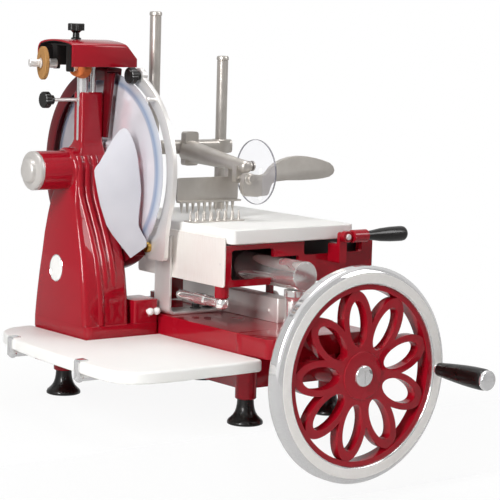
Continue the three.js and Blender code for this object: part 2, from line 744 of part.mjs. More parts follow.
function carriageFrame() {
  const frontBack = carriageFront + plateThickness;
  const front = box(carriageLeft, carriageRight, carriageFront, frontBack, carriageBottom, carriageTop);
  const back = box(carriageLeft, carriageRight, carriageBack - plateThickness, carriageBack,
    carriageBottom, carriageTop);
  const leftRail = box(carriageLeft, carriageLeft + sideRailWidth, carriageFront, carriageBack,
    carriageBottom, carriageTop);
  const rightRail = box(carriageRight - sideRailWidth, carriageRight, carriageFront, carriageBack,
    rightRailBottom, carriageTop);
  const leftWindow = box(...leftWindowX, carriageFront - 1, frontBack + 1, ...leftWindowZ);
  const barWindow = box(barX - barWindowHalf, barX + barWindowHalf, carriageFront - 1, carriageBack + 1, ...barWindowZ);
  const rightWindow = box(...rightWindowX, carriageFront - 1, frontBack + 1, crossWebBottom, carriageTop + 1);
  const frame = cut(join(front, back, leftRail, rightRail), leftWindow, barWindow, rightWindow);
  const sleeveBlock = bar([barX, 0, barZ], Y, barRadius + sleeveWall, sleeveFront, sleeveBack, roundSteps);
  const crossWeb = box(carriageLeft, carriageRight, rollerY - crossWebHalf, rollerY + crossWebHalf,
    crossWebBottom, carriageTop);
  const webToSleeve = box(barX - 20, barX + 20, sleeveFront, rollerY + 12, barZ, carriageTop);
  const boss = bar([rodBossX, rodBossY, 0], Z, rodBossRadius, rodBossFoot, carriageBottom - seatGap, roundSteps);
  const bossWeb = box(carriageLeft, rodBossX + rodBossRadius, rodBossY - rodBossRadius, rodBossY + rodBossRadius,
    carriageBottom - 4, carriageBottom + 10);
  const rollerArm = box(...rollerArmX, rollerY - crossWebHalf, rollerY + crossWebHalf, rollerZ - rollerArmDrop,
    crossWebBottom + 2);
  const barBore = bar([barX, 0, barZ], Y, barRadius + shaftGap, carriageFront - 1, carriageBack + 1, roundSteps);
  const rollerPinLeft = rollerArmX[0] + 3;
  const rollerHead = rollerRight + 0.5;
  const rollerPin = turned([0, rollerY, rollerZ], X, [
    [0, rollerPinLeft], [rollerPinRadius, rollerPinLeft], [rollerPinRadius, rollerHead],
    [rollerHeadRadius, rollerHead], [rollerHeadRadius, rollerHead + rollerHeadHeight],
    [0, rollerHead + rollerHeadHeight],
  ], smallSteps);
  const nutWindow = box(carriageLeft + 12, nutLeft + nutThickness + feedTravel + 2, rollerY - 7, rollerY + 7,
    feedScrewZ - 10, carriageTop + 1);
  const screwBore = bar([0, rollerY, feedScrewZ], X, feedScrewRadius + shaftGap, screwLeft - 1, carriageRight + 1, smallSteps);
  const pinBore = bar([rodBossX, rodBossY, 0], Z, rodPinRadius + seatGap, rodBossFoot - 1, carriageBottom - 2,
    smallSteps);
  return cut(join(frame, sleeveBlock, crossWeb, webToSleeve, boss, bossWeb, rollerArm, rollerPin),
    barBore, nutWindow, screwBore, pinBore);
}

add("carriage_frame", carriageFrame(), redPaint);
const panelThickness = 2.2;
const panelTop = 298;
const railLeft = 188;
const railRight = 198;
const railFront = 20;
const railBack = 405;
add("carriage_panel", box(carriageLeft - seatGap - panelThickness, carriageLeft - seatGap, carriageFront, carriageBack,
  carriageBottom, panelTop), steel);
add("carriage_roller", sleeve([0, rollerY, rollerZ], X, rollerRadius, rollerPinRadius + seatGap,
  rollerLeft, rollerRight, roundSteps), steel);
add("roller_rail", box(railLeft, railRight, railFront, railBack, baseTop + seatGap,
  rollerZ - rollerRadius - seatGap), steel);
const rodLow = 178;
const rodHigh = rodBossFoot - seatGap;
const rodMiddle = (rodLow + rodHigh) / 2;
const rodEyeRadius = 10;
const rodShankRadius = 6;
const rodShankEnd = 200;
add("connecting_rod", join(
  bar([rodBossX, rodBossY, 0], Z, rodEyeRadius, rodLow, rodHigh, roundSteps),
  bar([rodBossX, rodBossY, 0], Z, rodPinRadius, rodHigh - 1, carriageBottom - 3, smallSteps),
  bar([rodBossX, 0, rodMiddle], Y, rodShankRadius, rodBossY + rodEyeRadius / 2, rodShankEnd, smallSteps),
), chrome);

// Food table on its cross slide, with spikes, rods and the feed screw
const tableCorner = 9;
const socketDepth = 12;

function foodTable() {
  const board = alongZ(roundedRectangle(tableLeft, tableRight, tableFront, tableBack, tableCorner),
    tableBottom, tableTop);
  const sockets = [tallRodX, shortRodX].map((x) =>
    bar([x, rodY, 0], Z, rodRadius + seatGap, tableTop - socketDepth, tableTop + 1, roundSteps));
  return cut(board, ...sockets);
}

add("food_table", foodTable(), whiteBoard);

// Two rows of short spikes on a bright strip near the blade
const stripRight = 110;
const stripFront = 158;
const stripBack = 186;
const stripThickness = 2;
const spikeInset = 6;
const spikePitch = 15;
const spikeHeight = 20;
const spikeRadius = 2.2;

function tableSpikes() {
  const strip = box(tableLeft + 2, stripRight, stripFront, stripBack, tableTop + seatGap, tableTop + stripThickness);
  const spikes = [];
  for (const y of [stripFront + spikeInset, stripBack - spikeInset]) {
    for (let x = tableLeft + 2 * spikeInset; x < stripRight - spikeInset; x += spikePitch) {
      spikes.push(turned([x, y, tableTop], Z, [
        [0, 1], [spikeRadius, 1], [spikeRadius * 0.7, spikeHeight * 0.6], [0, spikeHeight],
      ], 8));
    }
  }
  return join(strip, ...spikes);
}

add("table_spikes", tableSpikes(), chrome);
const screwKnobRadius = 11;
const screwKnobLength = 12;
add("feed_screw", join(
  bar([0, rollerY, feedScrewZ], X, feedScrewRadius, screwLeft, carriageRight + 4, smallSteps),
  bar([0, rollerY, feedScrewZ], X, screwKnobRadius, carriageRight + seatGap, carriageRight + screwKnobLength, roundSteps),
), darkSteel);
const nutHalfWidth = 6.6;
const nutFlangeHalf = 18;
const nutBelow = 9;
add("feed_nut", cut(
  join(
    box(nutLeft, nutLeft + nutThickness, rollerY - nutHalfWidth, rollerY + nutHalfWidth,
      feedScrewZ - nutBelow, tableBottom - seatGap),
    box(nutLeft, nutLeft + nutThickness, rollerY - nutFlangeHalf, rollerY + nutFlangeHalf,
      carriageTop + 0.5, tableBottom - seatGap),
  ),
  bar([0, rollerY, feedScrewZ], X, feedScrewRadius + shaftGap, nutLeft - 1, nutLeft + nutThickness + 1, smallSteps),
), brass);

// Meat clamp: two upright rods, a crossbar that slides on them, the arm, the toothed jaw and the handle
const rodCapHeight = 4;
const rodCapStep = 1.5;

function clampRod(x, top) {
  const foot = tableTop - socketDepth + seatGap;
  return turned([x, rodY, 0], Z, [
    [0, foot], [rodRadius, foot], [rodRadius, top - rodCapHeight - 1], [rodRadius + rodCapStep, top - rodCapHeight],
    [rodRadius + rodCapStep, top], [0, top],
  ], roundSteps);
}

add("clamp_rod_tall", clampRod(tallRodX, tallRodTop), steel);
add("clamp_rod_short", clampRod(shortRodX, shortRodTop), steel);

const jawTop = 384;
const jawBottom = 342;
const armDrop = 17;
const handleX = 112;
const handleY = armFront + 8;
const handleZ = 384;
const discX = 137;
const discRadius = 56;
const discThickness = 3;
const discStudRadius = 5;
const studPointY = handleY + 12;
const studPointZ = handleZ + 19;
const crossbarOverhang = 17;
const crossbarHalfDepth = 13;
const crossbarHalfHeight = 12;
const blockHalfWidth = 14;
const blockAbove = 28;
const blockBelow = 32;
const blockFront = 22;
const armRootRadius = 20;
const armTipRadius = 11;
const armRootY = rodY - 10;
const hangerHalf = 9;
const hangerDepth = 10;
const pinHeadRadius = 7;
const pinHeadHeight = 4.5;
const handlePinRadius = 4;
const handleHubFront = 24;
const handleHubBack = 9.3;
const lugAbove = 22;
const lugBelow = 9;
const lugDepth = 12;
const discWasherRadius = 9;
const discWasherHeight = 4;

function clampArm() {
  const crossbar = box(tallRodX - crossbarOverhang, shortRodX + crossbarOverhang, rodY - crossbarHalfDepth,
    rodY + crossbarHalfDepth, crossbarZ - crossbarHalfHeight, crossbarZ + crossbarHalfHeight);
  const rodHoles = [tallRodX, shortRodX].map((x) => bar([x, rodY, 0], Z, rodRadius + shaftGap,
    crossbarZ - crossbarHalfHeight - 1, crossbarZ + crossbarHalfHeight + 1, roundSteps));
  const block = box(clampArmX - blockHalfWidth, clampArmX + blockHalfWidth, rodY - blockFront, rodY - blockFront + 14,
    crossbarZ - blockBelow, crossbarZ + blockAbove);
  const length = armRootY - armFront;
  const direction = new THREE.Vector3(0, -length, -armDrop);
  const arm = turned([clampArmX, armRootY, crossbarZ - 6], direction, [
    [0, 0], [armRootRadius, 0], [armTipRadius, length - 6], [armTipRadius - 3, length], [0, length],
  ], roundSteps);
  const hanger = box(clampArmX - hangerHalf, clampArmX + hangerHalf, jawY + 5, jawY + 5 + hangerDepth,
    jawBottom + 10, crossbarZ - crossbarHalfHeight);
  const pinFront = handleY - handleHubFront - 0.5 - pinHeadHeight;
  const pin = turned([handleX, 0, handleZ], Y, [
    [0, pinFront], [pinHeadRadius, pinFront], [pinHeadRadius, pinFront + pinHeadHeight],
    [handlePinRadius, pinFront + pinHeadHeight], [handlePinRadius, handleY + 20], [0, handleY + 20],
  ], smallSteps);
  const lug = box(clampArmX - blockHalfWidth, clampArmX + 4, handleY + 6, handleY + 6 + lugDepth,
    handleZ - lugBelow, handleZ + lugAbove);
  const discFace = discX + discThickness + seatGap;
  const stud = turned([0, studPointY, studPointZ], X, [
    [0, clampArmX], [discStudRadius, clampArmX], [discStudRadius, discFace],
    [discWasherRadius, discFace], [discWasherRadius, discFace + discWasherHeight], [0, discFace + discWasherHeight],
  ], smallSteps);
  const discSeat = bar([0, studPointY, studPointZ], X, discWasherRadius, clampArmX, discX - seatGap, smallSteps);
  return join(cut(crossbar, ...rodHoles), block, arm, hanger, pin, lug, stud, discSeat);
}

add("clamp_arm", clampArm(), steel);

// Jaw plate along X with a row of teeth under it
const jawLeft = 0;
const jawRight = 128;
const jawThickness = 4.7;
const jawFlange = 10;
const jawFlangeThickness = 3;
const toothPitch = 12;
const toothLength = 18;
const toothRadius = 3;

function clampJaw() {
  const plate = box(jawLeft, jawRight, jawY, jawY + jawThickness, jawBottom, jawTop);
  const flange = box(jawLeft, jawRight, jawY - jawFlange, jawY + jawThickness, jawBottom, jawBottom + jawFlangeThickness);
  const teeth = [];
  for (let x = jawLeft + toothPitch / 2; x < jawRight - 2; x += toothPitch) {
    teeth.push(turned([x, jawY - 4, jawBottom], Z, [
      [0, -toothLength], [toothRadius * 0.75, -toothLength * 0.45], [toothRadius, 1], [0, 1],
    ], 8));
  }
  return join(plate, flange, ...teeth);
}

add("clamp_jaw", clampJaw(), steel);

// Thumb lever: hub, arm and a flat rounded paddle
const paddleReach = 192;
const paddleTipReach = 20;
const paddleShoulder = 52;
const paddleTipHeight = 11;
const paddleRise = 14;
const handleHubRadius = 13;
const handleRootLength = 50;
const paddleThickness = 10;

function clampHandle() {
  const [px, py, pz] = [handleX, handleY, handleZ];
  const hub = bar([px, 0, pz], Y, handleHubRadius, py - handleHubFront, py - handleHubBack, roundSteps);
  const tip = px + paddleReach - paddleTipReach;
  const root = px + handleRootLength;
  const paddle = alongY([
    [px, pz - paddleRise], [root, pz - handleHubRadius + 1], [root + 12, pz + 2], [root + handleRootLength, pz + 6],
    ...arc(tip, pz + paddleRise, paddleTipReach, paddleTipHeight, -70, 90, 8),
    [tip - paddleShoulder, pz + paddleRise + handleHubRadius], [root + 30, pz + paddleRise + 10], [root, pz + 9], [px, pz + 10],
  ], py - handleHubFront + 2, py - handleHubFront + 2 + paddleThickness);
  const bore = bar([px, 0, pz], Y, handlePinRadius + shaftGap, py - handleHubFront - 6, py, smallSteps);
  return cut(join(hub, paddle), bore);
}

add("clamp_handle", clampHandle(), steel);
add("clear_disc_guard", cut(
  bar([discX, handleY - 4, handleZ + 10], X, discRadius, 0, discThickness, largeSteps),
  bar([discX, studPointY, studPointZ], X, discStudRadius + seatGap, -1, discThickness + 1, smallSteps),
  box(discX - 1, discX + discThickness + 1, handleY - handleHubFront, handleY - handleHubBack - 0.7,
    handleZ - handleHubRadius - 9, handleZ + handleHubRadius + 5),
), clearPlastic);

// Table lever: a bracket on the carriage's front plate, its pin and the black handle
const leverX = 221;
const leverZ = 294;
const leverY = 33;
const leverArmBottom = 248;
const leverArmTop = 281;
const leverCheekBottom = 268;
const leverCheekLeft = 9;
const leverCheekRight = 7;
const leverPinRadius = 3.5;
const leverPinHead = 5;
const leverPinFront = leverY - 20;
const leverPinHeadHeight = 2.7;

function leverBracket() {
  const left = leverX - leverCheekLeft;
  const right = leverX + leverCheekRight;
  const arm = box(left, right, leverY - 6, carriageFront - seatGap, leverArmBottom, leverArmTop);
  const cheek = box(left, right, leverY - 6, leverY + 1, leverCheekBottom, leverZ + leverCheekRight);
  const headBack = leverPinFront + leverPinHeadHeight;
  const pin = turned([leverX, 0, leverZ], Y, [
    [0, leverPinFront], [leverPinHead, leverPinFront], [leverPinHead, headBack],
    [leverPinRadius, headBack], [leverPinRadius, leverY - 5], [0, leverY - 5],
  ], smallSteps);
  return join(arm, cheek, pin);
}

add("lever_bracket", leverBracket(), redPaint);
const leverEyeRadius = 10;
const leverEyeFront = leverPinFront + leverPinHeadHeight + seatGap;
const leverEyeBack = leverY - 6 - seatGap - 0.1;
const leverBodyY = (leverEyeFront + leverEyeBack) / 2;
const leverBodyRadius = 11;
const leverBodyEnd = 45;
const leverNeckRadius = 5;
const leverGripLength = 96;
const leverGripRadius = 13;
const leverGripRoot = 7.5;
add("table_lever", cut(
  join(
    bar([leverX, 0, leverZ], Y, leverEyeRadius, leverEyeFront, leverEyeBack, roundSteps),
    bar([0, leverBodyY, leverZ], X, leverNeckRadius, leverX, leverX + 2 * leverEyeRadius, smallSteps),
    bar([0, leverBodyY, leverZ], X, leverBodyRadius, leverX + leverEyeRadius + 1, leverX + leverBodyEnd, roundSteps),
  ),
  bar([leverX, 0, leverZ], Y, leverPinRadius + seatGap, leverPinFront, leverY, smallSteps),
), redPaint);
add("lever_grip", turned([leverX + leverBodyEnd + seatGap, leverBodyY, leverZ], X, [
  [0, 0], [leverGripRoot, 0], [leverGripRadius - 2, leverGripLength * 0.3], [leverGripRadius, leverGripLength * 0.83],
  [leverGripRadius, leverGripLength - 3], [leverGripRadius - 2, leverGripLength], [0, leverGripLength],
], roundSteps), black);

// Sharpener: the post in the column, its guide pin, the hood and what hangs in it
const carrierRoof = hoodTop - hoodWall - seatGap;
add("sharpener_post", bar([postX, bladeAxisY, 0], Z, postRadius, postBoreFoot + 2, carrierRoof, roundSteps), chrome);
add("sharpener_guide_pin", bar([pinX, bladeAxisY, 0], Z, pinRadius, pinBoreFoot + 2, carrierRoof, smallSteps), chrome);

const hoodChamfer = 32;
const topKnobX = -120;
const topKnobStem = 3;
const topKnobNeck = 6;
const topKnobRadius = 14;
const topKnobHeight = 27;
const topKnobReach = 16;
const hoodOutline = [
  [hoodLeft, hoodBottom], [hoodRight, hoodBottom], [hoodRight - 2, hoodTop - hoodChamfer],
  [hoodRight - hoodChamfer, hoodTop], [hoodLeft, hoodTop],
];
const hoodInside = [
  [hoodLeft - 1, hoodBottom - 1], [hoodRight - hoodWall, hoodBottom - 1],
  [hoodRight - hoodWall - 2, hoodTop - hoodChamfer - 1], [hoodRight - hoodChamfer - 1.5, hoodTop - hoodWall],
  [hoodLeft - 1, hoodTop - hoodWall],
];

function sharpenerHood() {
  const shell = cut(
    alongY(hoodOutline, hoodFront, hoodBack),
    alongY(hoodInside, hoodFront + hoodWall, hoodBack - hoodWall),
  );
  const knobHole = bar([topKnobX, bladeAxisY, 0], Z, topKnobStem + shaftGap, hoodTop - 10, hoodTop + 1, smallSteps);
  return cut(shell, knobHole);
}

add("sharpener_hood", sharpenerHood(), redPaint);
add("sharpener_top_knob", turned([topKnobX, bladeAxisY, hoodTop], Z, [
  [0, -topKnobReach], [topKnobStem, -topKnobReach], [topKnobStem, seatGap], [topKnobNeck, seatGap],
  [topKnobNeck, topKnobHeight - 14], [topKnobRadius - 3, topKnobHeight - 12], [topKnobRadius, topKnobHeight - 9],
  [topKnobRadius, topKnobHeight - 2], [topKnobRadius - 2, topKnobHeight], [0, topKnobHeight],
], roundSteps), black);

// Stone carrier under the hood's roof, with the flat stone and the cup stone on their spindles
const flatStone = [hoodLeft - 6, bladeAxisY + 19, hoodBottom + 4];
const cupStone = [hoodLeft + 34, bladeAxisY - 15, hoodBottom - 1];
const spindleRadius = 4;
const carrierThickness = 4;
const carrierLeft = -150;
const carrierRight = -116;
const carrierFront = bladeAxisY - 25;
const carrierBack = bladeAxisY + 35;
const hangerThickness = 7;
const flatStoneRadius = 28;
const flatStoneBack = 4;
const flatStoneFront = 11;
const cupRimRadius = 22;
const cupBackRadius = 15;
const cupWall = 5;
const cupHalfDepth = 8;
const flatDirection = new THREE.Vector3(-1, 0.27, 0).normalize();
const cupDirection = new THREE.Vector3(1, 0.5, 0.25).normalize();

function stoneCarrier() {
  const plate = box(carrierLeft, carrierRight, carrierFront, carrierBack, carrierRoof - carrierThickness, carrierRoof);
  const flatHanger = box(carrierLeft, carrierLeft + hangerThickness, flatStone[1] - hangerThickness,
    flatStone[1] + hangerThickness - 1, flatStone[2] - 9, carrierRoof - 1);
  const flatSpindle = bar(flatStone, flatDirection, spindleRadius, -16, flatStoneFront + 15, smallSteps);
  const cupHanger = box(carrierLeft + 4, carrierLeft + 4 + hangerThickness, carrierFront,
    carrierFront + 2 * hangerThickness, cupStone[2] - cupHalfDepth, carrierRoof - 1);
  const cupSpindle = bar(cupStone, cupDirection, spindleRadius, -cupHalfDepth - 10, cupHalfDepth + 4, smallSteps);
  const postHole = bar([postX, bladeAxisY, 0], Z, postRadius + shaftGap, postBoreFoot, hoodTop, roundSteps);
  const knobHole = bar([topKnobX, bladeAxisY, 0], Z, topKnobStem + shaftGap, hoodTop - topKnobReach - 6, hoodTop,
    smallSteps);
  return cut(join(plate, flatHanger, flatSpindle, cupHanger, cupSpindle), postHole, knobHole);
}

add("stone_carrier", stoneCarrier(), darkSteel);
add("flat_stone", sleeve(flatStone, flatDirection, flatStoneRadius, spindleRadius + seatGap,
  flatStoneBack, flatStoneFront, roundSteps), amberStone);
add("cup_stone", turned(cupStone, cupDirection, [
  [spindleRadius + seatGap, -cupHalfDepth], [cupBackRadius, -cupHalfDepth], [cupRimRadius, cupHalfDepth],
  [cupRimRadius - cupWall, cupHalfDepth], [cupBackRadius - 3, -2], [spindleRadius + seatGap, -2],
], roundSteps), orangeStone);

// Clamp screw in the column's left side, with its black knob
const screwKnobEnd = columnLeft - 70;
const screwTip = postX - postRadius - seatGap;
add("column_clamp_screw", turned([0, bladeAxisY, screwZ], X, [
  [0, screwKnobEnd], [knobRadius - 3, screwKnobEnd], [knobRadius, screwKnobEnd + 3], [knobRadius, screwKnobEnd + 10],
  [knobNeck, screwKnobEnd + 14], [knobNeck, screwKnobEnd + 20], [screwRadius, screwKnobEnd + 20],
  [screwRadius, screwTip], [0, screwTip],
], roundSteps), black);

// Flywheel: bright rim, red wheel with looped spokes, hub cap, axle and its bevel wheel
const rimMiddle = (rimInner + rimOuter) / 2;
const rimProfile = [
  [rimInner, wheelFront + 1], [rimInner + 2, wheelFront], [rimOuter - 8, wheelFront],
  ...arc(rimOuter - 16, wheelFront + rimDepth / 2, 16, rimDepth / 2, -60, 60, 6),
  [rimMiddle, wheelFront + rimDepth], [rimInner, wheelFront + rimDepth - 4],
];
const studY = wheelFront + 14;
const studPlace = [axleX + crankRadius, 0, axleZ - 2];
const studRadius = 6;

add("flywheel_rim", cut(
  turned(wheelAxis, Y, rimProfile, largeSteps),
  bar(studPlace, Y, studRadius + seatGap, wheelFront - 1, studY + 0.3, roundSteps),
), chrome);

function flywheelSpider() {
  const front = wheelFront + 4;
  const ring = sleeve(wheelAxis, Y, rimInner - seatGap, spiderRingInner, front, wheelFront + rimDepth - 5, largeSteps);
  const hub = bar(wheelAxis, Y, wheelHubRadius, front, wheelHubBack, largeSteps);
  const loops = [];
  const holes = [];
  for (let petal = 0; petal < petalCount; petal += 1) {
    const angle = THREE.MathUtils.degToRad(petalPhase + (360 / petalCount) * petal);
    const outline = (halfLength, halfWidth) => arc(0, 0, halfLength, halfWidth, 0, 342, 19).map(([along, side]) => {
      const radial = petalCentreRadius + along;
      return [
        axleX + radial * Math.cos(angle) - side * Math.sin(angle),
        axleZ + radial * Math.sin(angle) + side * Math.cos(angle),
      ];
    });
    loops.push(alongY(outline(petalHalfLength, petalHalfWidth), front + 2, front + petalDepth));
    holes.push(alongY(outline(petalHoleHalfLength, petalHoleHalfWidth), front - 2, wheelHubBack + 2));
  }
  const webs = sleeve(wheelAxis, Y, spiderRingInner + 2, petalCentreRadius + petalHalfLength - 8,
    front + 8, front + petalDepth, 72);
  const bore = bar(wheelAxis, Y, axleRadius + seatGap, front - 1, wheelHubBack + 1);
  return cut(join(ring, hub, webs, ...loops), bore, ...holes);
}

add("flywheel_spider", flywheelSpider(), redPaint);
add("flywheel_hub_cap", turned([axleX, wheelFront + 4 - seatGap, axleZ], Y.clone().negate(), [
  [0, 0], [17.5, 0], [17.5, 3], [15.5, 5], [0, 5],
], roundSteps), chrome);
add("flywheel_axle", turned(wheelAxis, Y, [
  [0, wheelFront + 4.5], [axleRadius, wheelFront + 4.5], [axleRadius, driverLarge - bevelBodyDepth],
  [bevelDriverRadius - 3, driverLarge - bevelBodyDepth], [bevelDriverRadius, driverLarge],
  [bevelDriverRadius * 0.65, driverTip], [0, driverTip],
]), steel);
add("crank_stud", turned([studPlace[0], 0, studPlace[2]], Y, [
  [0, wheelFront - 20], [5, wheelFront - 20], [5, wheelFront - 4.5], [10, wheelFront - 4], [10, wheelFront - seatGap],
  [studRadius, wheelFront - seatGap], [studRadius, studY], [0, studY],
], roundSteps), chrome);
const gripBack = wheelFront - 5;
add("crank_grip", cut(turned([studPlace[0], gripBack, studPlace[2]], Y.clone().negate(), [
  [0, 0], [gripRootRadius, 0], [gripRootRadius + 2, 30], [gripRadius, 80], [gripRadius, gripLength - 6],
  [gripRadius - 3, gripLength], [0, gripLength],
], roundSteps), bar([studPlace[0], gripBack, studPlace[2]], Y.clone().negate(), 5 + shaftGap, -1, 16, roundSteps)), black);
add("crank_grip_cap", turned([studPlace[0], gripBack - gripLength - seatGap, studPlace[2]], Y.clone().negate(), [
  [0, 0], [gripRadius - 2, 0], [gripRadius - 2, 5], [gripRadius - 4, 7], [0, 7],
], roundSteps), chrome);

// Cross shaft, its bevel wheel, the lower chain wheel and the chain up to the blade shaft
const followerLarge = axleX - bevelDriverRadius - bevelRunGap;
const followerBodyDepth = 10;
const crossShaftLeft = -110;
const crossAxis = [0, bladeAxisY, axleZ];
const chainWheelLeft = chainX - chainWheelHalfWidth;
const chainWheelRight = chainX + chainWheelHalfWidth;
add("cross_shaft", turned(crossAxis, X, [
  [0, crossShaftLeft], [crossShaftRadius, crossShaftLeft], [crossShaftRadius, chainWheelLeft],
  [lowerChainWheelRadius, chainWheelLeft], [lowerChainWheelRadius, chainWheelRight],
  [crossShaftRadius, chainWheelRight], [crossShaftRadius, followerLarge - followerBodyDepth],
  [bevelFollowerRadius - 2, followerLarge - followerBodyDepth], [bevelFollowerRadius, followerLarge],
  [bevelFollowerRadius * 0.65, followerLarge + bevelDriverRadius * 0.35], [0, followerLarge + bevelDriverRadius * 0.35],
]), steel);

function chainOutline(extra) {
  const upper = upperChainWheelRadius + extra;
  const lower = lowerChainWheelRadius + extra;
  const lean = THREE.MathUtils.radToDeg(Math.asin((lower - upper) / (bladeAxisZ - axleZ)));
  return [
    ...arc(bladeAxisY, bladeAxisZ, upper, upper, lean, 180 - lean, smallSteps),
    ...arc(bladeAxisY, axleZ, lower, lower, 180 - lean, 360 + lean, smallSteps),
  ];
}

add("drive_chain", cut(
  alongX(chainOutline(shaftGap + chainThickness), chainX - chainWidth / 2, chainX + chainWidth / 2),
  alongX(chainOutline(shaftGap), chainX - chainWidth, chainX + chainWidth),
), darkSteel);

// Receiving tray round the tower's foot, on two bright rods with clips
const trayInnerEdge = Math.min(baseLeft, -footBossRadius) - seatGap;
const trayGap = 2;
const trayFrontCornerX = 26;
const trayFrontCornerY = 40;
const trayRearCornerX = 20;
const trayRearCornerY = 14;
const trayOverhang = 22;

function trayBoard() {
  const trayBack = towerBack + trayOverhang;
  const outline = [
    ...arc(trayLeft + trayFrontCornerX, trayFront + trayFrontCornerY, trayFrontCornerX, trayFrontCornerY, 180, 270, 6),
    [trayInnerEdge, trayFront], [trayInnerEdge, towerFront - trayGap],
    [towerLeft - trayGap, towerFront - trayGap], [towerLeft - trayGap, trayBack - 4],
    ...arc(trayLeft + trayRearCornerX, trayBack - trayRearCornerY, trayRearCornerX, trayRearCornerY, 90, 180, 4),
  ];
  return alongZ(outline, trayBottom, trayTop);
}

add("tray_board", trayBoard(), whiteBoard);
const frontRodY = 62;
const rearRodY = bladeAxisY - 43;
const rodBallRadius = 8;
const rodEndReach = 14;
const clipHalfWidth = 8;
const clipReach = 12;
const clipThickness = 3;
const trayRodPlaces = { tray_rod_front: frontRodY, tray_rod_rear: rearRodY };
for (const [name, y] of Object.entries(trayRodPlaces)) {
  const rodEnd = (y < towerFront ? baseLeft : towerLeft) - seatGap;
  const clipLeft = trayLeft - 2 * clipThickness;
  const clipTop = trayTop + clipThickness;
  add(name, join(
    turned([0, y, trayRodZ], X, [
      [0, trayLeft - rodEndReach], [rodBallRadius - 3, trayLeft - rodEndReach + 1],
      [rodBallRadius, trayLeft - rodBallRadius], [trayRodRadius, trayLeft - 2], [trayRodRadius, rodEnd], [0, rodEnd],
    ], smallSteps),
    box(clipLeft, trayLeft - seatGap, y - clipHalfWidth, y + clipHalfWidth, trayRodZ, clipTop),
    box(clipLeft, trayLeft + clipReach, y - clipHalfWidth, y + clipHalfWidth, trayTop + seatGap, clipTop),
  ), chrome);
}

// Two bright ball knobs side by side on the tower's foot
const ballRadius = 6.5;
const ballLeftX = baseLeft - 24;
const ballPitch = 13;
const ballZ = 157;
const ballStemRadius = 3;
const ballFace = towerFront + nearBlockStep - seatGap;
add("ball_knobs", join(
  ...[ballLeftX, ballLeftX + ballPitch].map((x) => turned([x, ballFace, ballZ], Y.clone().negate(), [
    [0, 0], [ballStemRadius, 0], [ballStemRadius, 4], ...arc(0, ballRadius + 2.5, ballRadius, ballRadius, -50, 90, 6),
  ], smallSteps)),
  box(ballLeftX, ballLeftX + ballPitch, ballFace - 2.7, ballFace, ballZ - 2, ballZ + 2),
), chrome);

export default part;
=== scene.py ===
import math

import bpy
from mathutils import Matrix, Vector


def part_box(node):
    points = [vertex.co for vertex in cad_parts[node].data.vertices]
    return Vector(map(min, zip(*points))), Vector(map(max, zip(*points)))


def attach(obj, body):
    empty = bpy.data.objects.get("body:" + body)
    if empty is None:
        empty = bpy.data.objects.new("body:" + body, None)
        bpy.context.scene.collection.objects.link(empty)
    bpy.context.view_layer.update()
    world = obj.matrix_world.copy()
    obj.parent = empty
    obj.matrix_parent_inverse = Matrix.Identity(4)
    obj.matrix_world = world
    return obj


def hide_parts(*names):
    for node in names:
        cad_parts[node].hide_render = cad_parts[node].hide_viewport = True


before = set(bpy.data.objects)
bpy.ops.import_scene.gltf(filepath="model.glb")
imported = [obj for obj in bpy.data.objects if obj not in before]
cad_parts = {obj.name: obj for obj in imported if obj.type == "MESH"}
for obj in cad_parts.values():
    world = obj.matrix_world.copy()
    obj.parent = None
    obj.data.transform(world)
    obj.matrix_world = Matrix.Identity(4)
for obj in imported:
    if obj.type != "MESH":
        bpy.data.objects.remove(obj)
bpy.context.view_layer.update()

# Camera
# The photograph was taken from the operator's left, a little above the table, with a long lens.
# Its place was solved from the wheel, the blade, the feet and the table's edges.
mm = 0.001
camera_place = Vector((-1900, -2477, 660)) * mm
azimuth, pitch, roll = (math.radians(angle) for angle in (37.5, 6.85, -1.6))
forward = Vector((math.sin(azimuth) * math.cos(pitch), math.cos(azimuth) * math.cos(pitch), -math.sin(pitch)))
level_right = Vector((math.cos(azimuth), -math.sin(azimuth), 0))
level_down = forward.cross(level_right)
right = math.cos(roll) * level_right + math.sin(roll) * level_down
down = math.cos(roll) * level_down - math.sin(roll) * level_right
bpy.ops.object.camera_add()
camera = bpy.context.object
camera.data.lens = 140.4
camera.data.sensor_width = 36
camera.matrix_world = Matrix.Translation(camera_place) @ Matrix((right, -down, -forward)).transposed().to_4x4()
bpy.context.scene.camera = camera
bpy.context.scene.view_settings.view_transform = "Standard"


# Surface finishes share these functions: a colour from its hex value, a new material, its shader,
# and one node added with its settings and links.
def colour(hex_value):
    channels = [int(hex_value[i:i + 2], 16) / 255 for i in (1, 3, 5)]
    linear = [c / 12.92 if c <= 0.04045 else ((c + 0.055) / 1.055) ** 2.4 for c in channels]
    return (*linear, 1)


def new_material(name, hex_value, **sockets):
    material = bpy.data.materials.new(name)
    material.use_nodes = True
    shader_of(material).inputs["Base Color"].default_value = colour(hex_value)
    for socket, value in sockets.items():
        shader_of(material).inputs[socket.replace("_", " ")].default_value = value
    return material


def shader_of(material):
    return material.node_tree.nodes["Principled BSDF"]


def add_node(owner, kind, links=(), settings=(), **sockets):
    node = owner.node_tree.nodes.new(kind)
    for name, value in dict(settings).items():
        setattr(node, name, value)
    for name, value in sockets.items():
        node.inputs[name.replace("_", " ")].default_value = value
    for socket, source in dict(links).items():
        owner.node_tree.links.new(source, node.inputs[socket])
    return node


